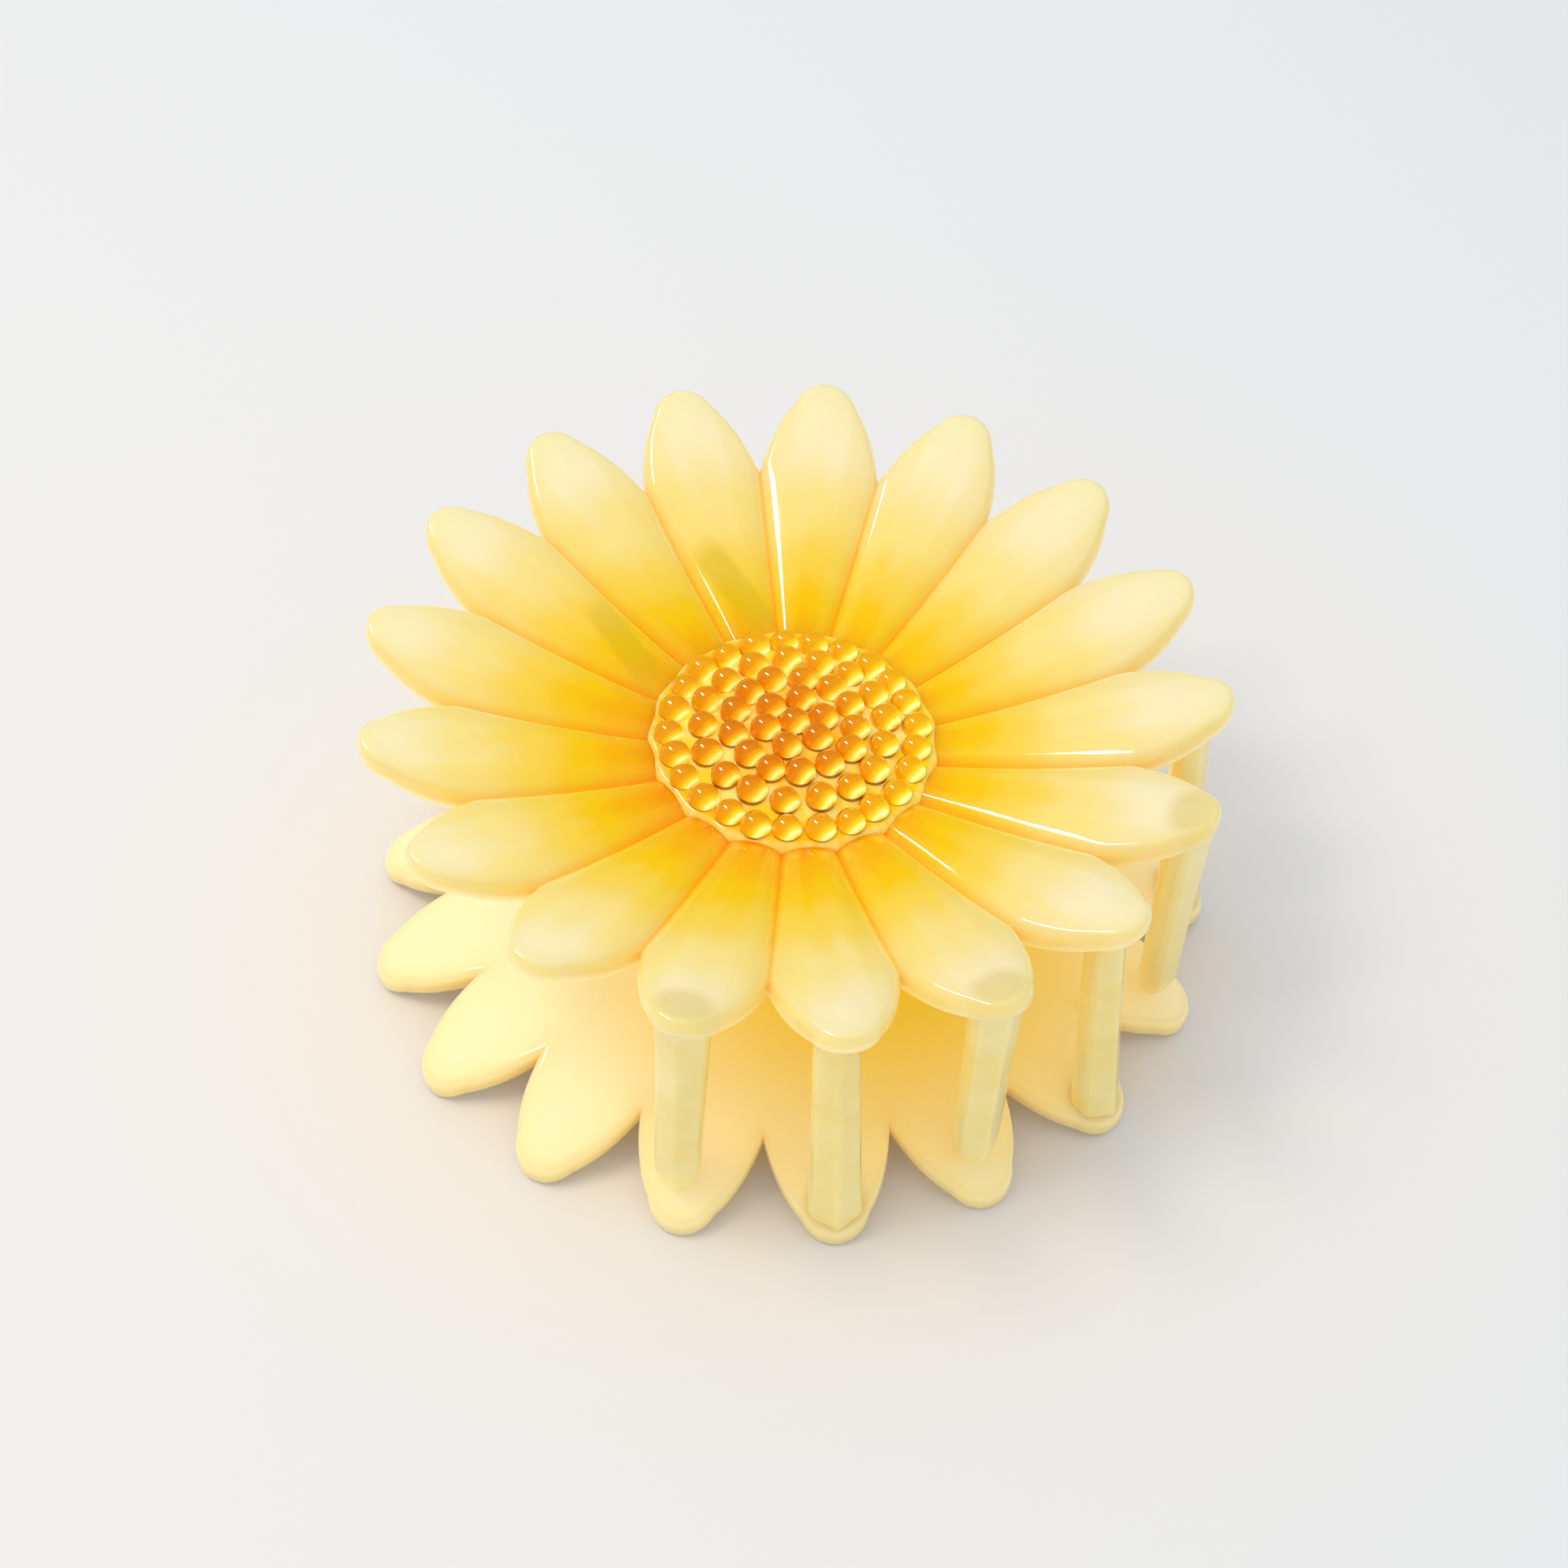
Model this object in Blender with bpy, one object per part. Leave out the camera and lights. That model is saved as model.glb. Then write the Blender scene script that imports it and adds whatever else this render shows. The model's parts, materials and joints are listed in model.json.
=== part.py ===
"""Flower hair clip: two daisy-shaped halves on a sprung pin, with interlocking teeth.

Metres, +Z up.  The clip lies closed on its back flower.  The hinge pin runs along X, the
teeth are at -Y and the finger petals at +Y.  Each half is modelled in its own flower frame:
x along the pin, y towards the finger petals, z outwards from the clip, with the origin in
the middle of the flower at the height of the notches between its petals.
"""

import math

import bmesh
import bpy
from mathutils import Euler, Matrix, Vector

MM = 0.001

# The flower
PETALS = 17
TIP_RADIUS = 40.0 * MM
NOTCH_RADIUS = 31.3 * MM
TIP_ROUNDING = 3.3 * MM
SIDE_BULGE = 0.4 * MM         # a petal's side stands out this far past a straight line
TIP_RISE = 3.5 * MM           # petal tips stand this far outside the notches
CREST = 1.7 * MM              # height of a petal's back over the valleys beside it
CREST_START = 12.0 * MM       # radius where the petals begin to rise
CREST_FULL = 26.0 * MM
THICKNESS = 2.1 * MM
FLAT_RADIUS = 10.0 * MM       # flat middle of the inner face
SEAT_RADIUS = 11.8 * MM       # flat middle of the outer face, under the dome

# How the halves stand to each other
NOTCH_PLANE_GAP = 25.6 * MM
SPREAD = math.radians(4.5)    # the closed halves stand wider apart at the finger petals
HALF_SPREAD = SPREAD / 2
PIN_REACH = 17.7 * MM         # pin axis, from the middle towards the finger petals
GAP = 0.3 * MM                # between pieces that touch

# The dome
DOME_RADIUS = 13.3 * MM
DOME_EDGE = 0.9 * MM
DOME_HEIGHT = 4.4 * MM

# The hinge
EAR_THICKNESS = 2.8 * MM
FRONT_EAR_X = 6.4 * MM        # middle of a front ear, from the clip's middle
EAR_PITCH = EAR_THICKNESS + GAP
EAR_FOOT = 5.0 * MM           # half the length of an ear's foot
BOSS_RADIUS = 3.1 * MM
PIN_RADIUS = 0.8 * MM
PIN_HOLE_RADIUS = 0.9 * MM
PIN_HEAD_RADIUS = 1.4 * MM
PIN_HEAD = 0.6 * MM

# The spring
WIRE_RADIUS = 0.45 * MM
COIL_RADIUS = 2.2 * MM
COIL_TURNS = 6
COIL_PITCH = 1.15 * MM
LEG_REACH = 11.0 * MM

# The teeth
TOOTH_ROOT_RADIUS = 37.8 * MM
TOOTH_END_RADIUS = 37.3 * MM
TOOTH_WIDTH = 5.2 * MM
TOOTH_DEPTH = 4.4 * MM
TOOTH_END_SCALE = 0.80
TOOTH_TIP_CLEARANCE = 0.6 * MM
TOOTH_ROUNDING = 0.8 * MM
FRONT_TEETH = {"left": 10, "middle": 8, "right": 6}
BACK_TEETH = {"left": 9, "middle": 7, "right": 5}
TOP_PETAL = 16                # the petal that points along +Y

HALF_PETAL = math.pi / PETALS


# ---------------------------------------------------------------- the shape of a flower

def cup(radius):
    """Height of the dished flower at a radius; zero at the notches."""
    rise = (radius ** 2 - NOTCH_RADIUS ** 2) / (TIP_RADIUS ** 2 - NOTCH_RADIUS ** 2)
    return TIP_RISE * rise


def inner_height(radius):
    """Height of the smooth inner face, which is flat in the middle."""
    return cup(max(radius, FLAT_RADIUS)) - THICKNESS


def crest(radius):
    """Height of a petal's middle line over the valleys at a radius."""
    along = (radius - CREST_START) / (CREST_FULL - CREST_START)
    along = min(max(along, 0.0), 1.0)
    return CREST * along * (2.0 - along)


def outer_height(radius, across, out):
    """Height of the outer face; across is 0 on a petal's middle and 1 in a valley."""
    puff = crest(radius) * (1.0 - across ** 2) * (1.0 - out ** 8)
    return cup(max(radius, SEAT_RADIUS)) + puff


def petal_edge():
    """One petal's outline from its left notch to its tip and on, as (angle, radius)."""
    centre = TIP_RADIUS - TIP_ROUNDING
    notch = Vector((NOTCH_RADIUS * math.cos(HALF_PETAL), NOTCH_RADIUS * math.sin(HALF_PETAL)))
    back = notch - Vector((centre, 0.0))
    turn = math.atan2(back.y, back.x) - math.acos(TIP_ROUNDING / back.length)
    shoulder = Vector((centre + TIP_ROUNDING * math.cos(turn), TIP_ROUNDING * math.sin(turn)))
    side = (notch + shoulder) / 2 + Vector((SIDE_BULGE, SIDE_BULGE))
    half = turn / 2
    round_part = Vector((centre + TIP_ROUNDING * math.cos(half), TIP_ROUNDING * math.sin(half)))
    left = [notch, side, shoulder, round_part]
    points = left + [Vector((TIP_RADIUS, 0.0))]
    points += [Vector((p.x, -p.y)) for p in reversed(left[1:])]
    return [(math.atan2(p.y, p.x), p.length) for p in points]


def flower_outline():
    """The whole flower's outline, counter-clockwise: (angle, radius, across) for each point."""
    outline = []
    for petal in range(PETALS):
        middle = math.pi / 2 - petal * 2 * HALF_PETAL
        for angle, radius in petal_edge():
            outline.append((middle + angle, radius, abs(angle) / HALF_PETAL))
    outline.reverse()
    return outline


def flower_rings():
    """The face's rings from the middle outwards: (circle radius or None, scale of outline)."""
    circles = [FLAT_RADIUS, SEAT_RADIUS, 17.0 * MM, 22.0 * MM]
    return [(r, 0.0) for r in circles] + [(None, s) for s in (0.82, 0.93, 1.0)]


def add_face_of_rings(bm, outline, height):
    """Make one face of the flower and return its rings of vertices and its middle vertex."""
    rings = []
    for circle, scale in flower_rings():
        ring = []
        for angle, edge, across in outline:
            radius = edge * scale if circle is None else circle
            out = scale if circle is None else 0.0
            z = height(radius, across, out)
            ring.append(bm.verts.new((radius * math.cos(angle), radius * math.sin(angle), z)))
        rings.append(ring)
    middle = bm.verts.new((0.0, 0.0, height(0.0, 0.0, 0.0)))
    return rings, middle


def join_rings(bm, inner, outer):
    """Bridge two rings of equal length with quads."""
    count = len(inner)
    for k in range(count):
        n = (k + 1) % count
        bm.faces.new((inner[k], outer[k], outer[n], inner[n]))


def flower_mesh(name):
    """A dished plate with puffed petals outside and a smooth face inside."""
    bm = bmesh.new()
    outline = flower_outline()
    outside, top = add_face_of_rings(bm, outline, outer_height)
    inside, bottom = add_face_of_rings(bm, outline, lambda r, across, out: inner_height(r))
    for rings, middle in ((outside, top), (inside, bottom)):
        for inner, outer in zip(rings, rings[1:]):
            join_rings(bm, inner, outer)
        first = rings[0]
        for k in range(len(first)):
            bm.faces.new((middle, first[k], first[(k + 1) % len(first)]))
    join_rings(bm, outside[-1], inside[-1])
    return finish_mesh(bm, name)


# ---------------------------------------------------------------- helpers

def finish_mesh(bm, name, sharp=40.0):
    """Turn a closed bmesh into a mesh with its faces pointing out."""
    bmesh.ops.recalc_face_normals(bm, faces=bm.faces)
    mesh = bpy.data.meshes.new(name)
    bm.to_mesh(mesh)
    bm.free()
    mesh.shade_smooth()
    mesh.set_sharp_from_angle(angle=math.radians(sharp))
    return mesh


def lofted_mesh(name, rings, sharp=40.0):
    """Close a row of equal rings of points with a cap at each end."""
    bm = bmesh.new()
    loops = [[bm.verts.new(p) for p in ring] for ring in rings]
    for first, second in zip(loops, loops[1:]):
        join_rings(bm, first, second)
    bm.faces.new(loops[0])
    bm.faces.new(loops[-1])
    return finish_mesh(bm, name, sharp)


def turned_mesh(name, profile, steps):
    """Turn a profile of (radius, height) round Z; the end points lie on the axis."""
    bm = bmesh.new()
    first = bm.verts.new((0.0, 0.0, profile[0][1]))
    last = bm.verts.new((0.0, 0.0, profile[-1][1]))
    loops = []
    for radius, height in profile[1:-1]:
        turn = [2 * math.pi * k / steps for k in range(steps)]
        loops.append([bm.verts.new((radius * math.cos(a), radius * math.sin(a), height)) for a in turn])
    for lower, upper in zip(loops, loops[1:]):
        join_rings(bm, lower, upper)
    for k in range(steps):
        n = (k + 1) % steps
        bm.faces.new((first, loops[0][k], loops[0][n]))
        bm.faces.new((last, loops[-1][k], loops[-1][n]))
    return finish_mesh(bm, name)


def to_other_half(point):
    """A point of one flower frame, seen in the frame of the facing flower."""
    c = math.cos(HALF_SPREAD)
    s = math.sin(HALF_SPREAD)
    y = point.y * c - point.z * s
    z = -(point.y * s + point.z * c + NOTCH_PLANE_GAP)
    return Vector((point.x, y * c + z * s, -y * s + z * c))


def height_over_other(x, y, clearance):
    """The z at which a point of this half stands clear of the facing flower's inner face."""
    z = -NOTCH_PLANE_GAP
    for _ in range(6):
        seen = to_other_half(Vector((x, y, z)))
        z += seen.z - (inner_height(math.hypot(seen.x, seen.y)) - clearance)
    return z


def pin_in_flower_frame():
    """The pin's axis in either flower frame."""
    half_gap = NOTCH_PLANE_GAP / 2
    c = math.cos(HALF_SPREAD)
    s = math.sin(HALF_SPREAD)
    return Vector((0.0, PIN_REACH * c - half_gap * s, -PIN_REACH * s - half_gap * c))


# ---------------------------------------------------------------- materials

def material(name, color, roughness, metallic=0.0):
    """A plain Principled material."""
    made = bpy.data.materials.new(name)
    made.use_nodes = True
    shader = made.node_tree.nodes["Principled BSDF"]
    shader.inputs["Base Color"].default_value = (*color, 1.0)
    shader.inputs["Roughness"].default_value = roughness
    shader.inputs["Metallic"].default_value = metallic
    return made


def petal_plastic():
    return material("petal_plastic", (0.95, 0.78, 0.33), 0.25)


def tooth_plastic():
    return material("tooth_plastic", (0.90, 0.84, 0.42), 0.3)


def dome_plastic():
    return material("dome_plastic", (0.93, 0.48, 0.03), 0.1)


def steel():
    return material("steel", (0.72, 0.71, 0.69), 0.3, 1.0)


# ---------------------------------------------------------------- pieces

def place(name, mesh, parent, location, finish):
    """Put a mesh in the scene as one named piece of a half."""
    piece = bpy.data.objects.new(name, mesh)
    bpy.context.scene.collection.objects.link(piece)
    piece.parent = parent
    piece.location = location
    piece.data.materials.append(finish)
    return piece


def dome_mesh(name):
    """A low cap with a thin skirt that follows the flower's seat."""
    seat = cup(SEAT_RADIUS) + GAP
    skirt = cup(DOME_RADIUS) + crest(DOME_RADIUS) + GAP
    edge = skirt + DOME_EDGE
    top = seat + DOME_HEIGHT
    profile = [(0.0, seat), (SEAT_RADIUS - GAP, seat), (DOME_RADIUS - 0.4 * MM, skirt)]
    profile += [(DOME_RADIUS, skirt + DOME_EDGE / 2), (DOME_RADIUS - 0.3 * MM, edge)]
    for k in range(1, 5):
        radius = DOME_RADIUS * math.cos(k / 5 * math.pi / 2)
        level = math.sqrt(1.0 - (radius / DOME_RADIUS) ** 2)
        profile.append((radius, edge + (top - edge) * level ** 1.4))
    profile.append((0.0, top))
    return turned_mesh(name, profile, 34)


def tooth_outline(scale):
    """A tooth's section as (outwards, sideways): a roof outside, rounded corners inside."""
    half = TOOTH_WIDTH / 2
    deep = TOOTH_DEPTH / 2
    corners = [(deep, 0.0), (0.45 * deep, 0.86 * half), (0.1 * deep, half), (-0.6 * deep, half)]
    corners += [(-deep, 0.7 * half)]
    outline = corners + [(d, -w) for d, w in reversed(corners[1:])]
    return [(d * scale, w * scale) for d, w in outline]


def section_points(petal_angle, radius, scale):
    """The section's points round a radius on a petal's middle line, in the x-y plane."""
    out = Vector((math.cos(petal_angle), math.sin(petal_angle)))
    side = Vector((-out.y, out.x))
    return [out * (radius + d) + side * w for d, w in tooth_outline(scale)]


def tooth_mesh(name, petal_angle):
    """A tapering tooth from this half's petal tip down to the facing petal."""
    root = []
    for p in section_points(petal_angle, TOOTH_ROOT_RADIUS, 1.0):
        root.append(Vector((p.x, p.y, inner_height(p.length) - GAP)))
    neck = []
    for p in section_points(petal_angle, TOOTH_END_RADIUS, TOOTH_END_SCALE):
        clearance = TOOTH_TIP_CLEARANCE + TOOTH_ROUNDING
        neck.append(Vector((p.x, p.y, height_over_other(p.x, p.y, clearance))))
    end = []
    for p in section_points(petal_angle, TOOTH_END_RADIUS, TOOTH_END_SCALE * 0.72):
        end.append(Vector((p.x, p.y, height_over_other(p.x, p.y, TOOTH_TIP_CLEARANCE))))
    return lofted_mesh(name, [root, neck, end], sharp=30.0)


def ear_outline():
    """An ear's side view round the pin as (y, z) from the foot's far end to its near end."""
    pin = pin_in_flower_frame()
    points = []
    for k in range(9):
        angle = math.radians(20.0) - k / 8 * math.radians(220.0)
        points.append((pin.y + BOSS_RADIUS * math.cos(angle), pin.z + BOSS_RADIUS * math.sin(angle)))
    return points


def ear_mesh(name, middle_x):
    """A flat lug that rises from the inner face and carries the pin."""
    pin = pin_in_flower_frame()
    rings = []
    for x in (middle_x - EAR_THICKNESS / 2, middle_x + EAR_THICKNESS / 2):
        ring = [Vector((x, y, z)) for y, z in ear_outline()]
        for y in (pin.y - EAR_FOOT, pin.y, pin.y + EAR_FOOT):
            ring.append(Vector((x, y, inner_height(math.hypot(x, y)) - GAP)))
        rings.append(ring)
    return lofted_mesh(name, rings)


def pin_hole_cutter(parent, offset):
    """A wire-drawn rod along the pin that cuts the ears' holes."""
    bm = bmesh.new()
    bmesh.ops.create_cone(bm, cap_ends=True, segments=28, radius1=PIN_HOLE_RADIUS,
                          radius2=PIN_HOLE_RADIUS, depth=40.0 * MM,
                          matrix=Matrix.Rotation(math.pi / 2, 4, "Y"))
    cutter = bpy.data.objects.new("pin_hole_cutter_" + parent.name, finish_mesh(bm, "pin_hole"))
    bpy.context.scene.collection.objects.link(cutter)
    cutter.parent = parent
    cutter.location = pin_in_flower_frame() + offset
    cutter.hide_render = True
    cutter.display_type = "WIRE"
    return cutter


def drill(piece, cutter):
    """Cut the pin's hole through an ear."""
    cut = piece.modifiers.new("pin_hole", "BOOLEAN")
    cut.operation = "DIFFERENCE"
    cut.solver = "EXACT"
    cut.object = cutter


def make_half(label, frame, offset, teeth, ear_x, mirrored):
    """One flower with its dome, teeth and ears, all in its flower frame."""
    plastic = petal_plastic()
    pale = tooth_plastic()
    place(label + "_flower", flower_mesh(label + "_flower"), frame, offset, plastic)
    place(label + "_dome", dome_mesh(label + "_dome"), frame, offset, dome_plastic())
    for side, petal in teeth.items():
        angle = math.pi / 2 - (petal - TOP_PETAL) * 2 * HALF_PETAL
        if mirrored:
            angle = math.pi - angle
        name = label + "_tooth_" + side
        place(name, tooth_mesh(name, angle), frame, offset, pale)
    cutter = pin_hole_cutter(frame, offset)
    for side, sign in (("left", -1), ("right", 1)):
        name = label + "_ear_" + side
        x = -sign * ear_x if mirrored else sign * ear_x
        drill(place(name, ear_mesh(name, x), frame, offset, plastic), cutter)


def pin_mesh():
    """A straight steel pin with a low peened head at each end, along Z."""
    half = FRONT_EAR_X + EAR_PITCH + EAR_THICKNESS / 2 + GAP
    profile = [(0.0, -half - PIN_HEAD), (0.7 * PIN_HEAD_RADIUS, -half - PIN_HEAD)]
    profile += [(PIN_HEAD_RADIUS, -half - PIN_HEAD / 2), (PIN_HEAD_RADIUS, -half)]
    profile += [(PIN_RADIUS, -half)]
    profile += [(r, -z) for r, z in reversed(profile)]
    return turned_mesh("hinge_pin", profile, 24)


def spring_path():
    """The torsion spring's wire, from one leg's end through the coil to the other's."""
    pin = pin_in_flower_frame()
    start = COIL_TURNS * COIL_PITCH / 2
    spare = WIRE_RADIUS + GAP
    leg_y = pin.y + LEG_REACH
    leg_z = inner_height(math.hypot(start, leg_y)) - spare - pin.z
    shoulder = inner_height(math.hypot(start, pin.y + LEG_REACH / 2)) - 2.2 * spare - pin.z
    first = [Vector((start - 2.0 * MM, LEG_REACH, leg_z)), Vector((start, LEG_REACH, leg_z))]
    first += [Vector((start, LEG_REACH / 2, 0.86 * shoulder))]
    turned = math.radians(125.0)
    sweep = COIL_TURNS * 2 * math.pi + math.pi - 2 * (turned - math.pi / 2)
    steps = COIL_TURNS * 12
    coil = []
    for k in range(steps + 1):
        along = k / steps
        angle = turned + sweep * along
        x = start * (1.0 - 2.0 * along)
        coil.append(Vector((x, COIL_RADIUS * math.cos(angle), COIL_RADIUS * math.sin(angle))))
    last = [Vector((-p.x, p.y, -p.z)) for p in reversed(first)]
    return first + coil + last


def wire_mesh(name, path, radius, sides):
    """A round wire along a path of points."""
    rings = []
    side = Vector((0.0, 0.0, 1.0))
    for k, point in enumerate(path):
        ahead = path[min(k + 1, len(path) - 1)] - path[max(k - 1, 0)]
        ahead.normalize()
        side = (side - ahead * side.dot(ahead)).normalized()
        up = ahead.cross(side)
        turn = [2 * math.pi * n / sides for n in range(sides)]
        rings.append([point + radius * (side * math.cos(a) + up * math.sin(a)) for a in turn])
    return lofted_mesh(name, rings)


# ---------------------------------------------------------------- the clip

def add_empty(name, location, rotation):
    """A frame that carries pieces."""
    empty = bpy.data.objects.new(name, None)
    bpy.context.scene.collection.objects.link(empty)
    empty.location = location
    empty.rotation_euler = Euler(rotation)
    return empty


def clip_bounds():
    """The corners of everything that is a piece, in the world."""
    bpy.context.view_layer.update()
    points = []
    for piece in bpy.context.scene.objects:
        if piece.type == "MESH" and not piece.hide_render:
            points += [piece.matrix_world @ v.co for v in piece.data.vertices]
    low = Vector(min(p[k] for p in points) for k in range(3))
    high = Vector(max(p[k] for p in points) for k in range(3))
    return low, high


def clear_scene():
    """Start from an empty scene."""
    for old in list(bpy.data.objects):
        bpy.data.objects.remove(old, do_unlink=True)


def main():
    """Build both halves, the pin and the spring, and stand the clip on its back flower."""
    clear_scene()
    base = add_empty("clip_base", (0.0, 0.0, 0.0), (0.0, 0.0, 0.0))
    back = add_empty("back_half", (0.0, 0.0, 0.0), (0.0, math.pi, 0.0))
    pin = pin_in_flower_frame()
    axis = Vector((0.0, pin.y, -pin.z))
    front = add_empty("front_half", axis, (SPREAD, 0.0, 0.0))
    axle = add_empty("pin_axis", axis, (HALF_SPREAD, 0.0, 0.0))
    for frame in (back, front, axle):
        frame.parent = base
    make_half("back", back, Vector((0, 0, 0)), BACK_TEETH, FRONT_EAR_X + EAR_PITCH, True)
    make_half("front", front, -pin, FRONT_TEETH, FRONT_EAR_X, False)
    rod = place("hinge_pin", pin_mesh(), axle, Vector((0, 0, 0)), steel())
    rod.rotation_euler = Euler((0.0, math.pi / 2, 0.0))
    wire = wire_mesh("spring", spring_path(), WIRE_RADIUS, 8)
    place("spring", wire, axle, Vector((0, 0, 0)), steel())
    low, high = clip_bounds()
    base.location = (-(low.x + high.x) / 2, -(low.y + high.y) / 2, -low.z)


main()
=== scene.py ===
"""Looks of the flower hair clip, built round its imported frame.

Each half is drawn in its own flower frame: x along the pin, y towards the finger petals and
z outwards, with the origin in the middle of the flower at the height of its notches.
"""

import json
import logging
import math
from dataclasses import dataclass, field
from enum import Enum

import bmesh
import bpy
import numpy as np
from mathutils import Matrix, Quaternion, Vector

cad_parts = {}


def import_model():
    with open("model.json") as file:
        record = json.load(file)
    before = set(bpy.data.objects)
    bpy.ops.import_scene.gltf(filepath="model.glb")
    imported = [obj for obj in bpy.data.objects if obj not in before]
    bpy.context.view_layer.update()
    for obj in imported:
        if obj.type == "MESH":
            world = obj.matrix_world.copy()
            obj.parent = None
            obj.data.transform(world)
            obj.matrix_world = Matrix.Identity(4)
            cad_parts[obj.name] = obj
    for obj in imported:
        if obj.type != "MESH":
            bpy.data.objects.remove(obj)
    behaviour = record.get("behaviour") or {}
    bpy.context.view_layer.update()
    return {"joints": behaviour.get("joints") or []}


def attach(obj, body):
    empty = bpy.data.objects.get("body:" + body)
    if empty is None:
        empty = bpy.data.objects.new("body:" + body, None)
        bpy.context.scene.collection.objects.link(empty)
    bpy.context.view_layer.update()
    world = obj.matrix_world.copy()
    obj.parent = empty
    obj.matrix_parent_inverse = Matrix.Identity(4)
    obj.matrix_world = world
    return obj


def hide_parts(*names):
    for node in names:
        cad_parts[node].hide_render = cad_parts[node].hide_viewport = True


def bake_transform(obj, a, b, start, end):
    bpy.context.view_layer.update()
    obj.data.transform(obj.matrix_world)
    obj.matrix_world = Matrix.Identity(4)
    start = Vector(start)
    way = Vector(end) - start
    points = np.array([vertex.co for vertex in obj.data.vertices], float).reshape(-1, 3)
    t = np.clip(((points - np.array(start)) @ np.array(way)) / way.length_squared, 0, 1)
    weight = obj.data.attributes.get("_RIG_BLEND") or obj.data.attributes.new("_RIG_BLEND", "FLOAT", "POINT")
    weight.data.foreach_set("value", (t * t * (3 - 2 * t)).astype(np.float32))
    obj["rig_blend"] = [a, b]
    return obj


LOG = logging.getLogger("flower_hair_clip")
MM = 0.001

Color = tuple[float, float, float]


class Side(Enum):
    """Which half of the clip a piece belongs to."""

    FRONT = "front"
    BACK = "back"

    @property
    def body(self) -> str:
        """The half's body in the frame."""
        return self.value + "_half"


class Hand(Enum):
    """Where a piece stands along its row, seen from outside its own half."""

    LEFT = "left"
    MIDDLE = "middle"
    RIGHT = "right"


# ---------------------------------------------------------------- colour and node helpers


def hex_color(code: str) -> Color:
    """Turn a web colour into linear light.

    Args:
        code: Six hexadecimal digits.

    Returns:
        Red, green and blue in linear light.
    """
    parts = [int(code[k:k + 2], 16) / 255.0 for k in (0, 2, 4)]
    return tuple(v / 12.92 if v <= 0.04045 else ((v + 0.055) / 1.055) ** 2.4 for v in parts)


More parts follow.
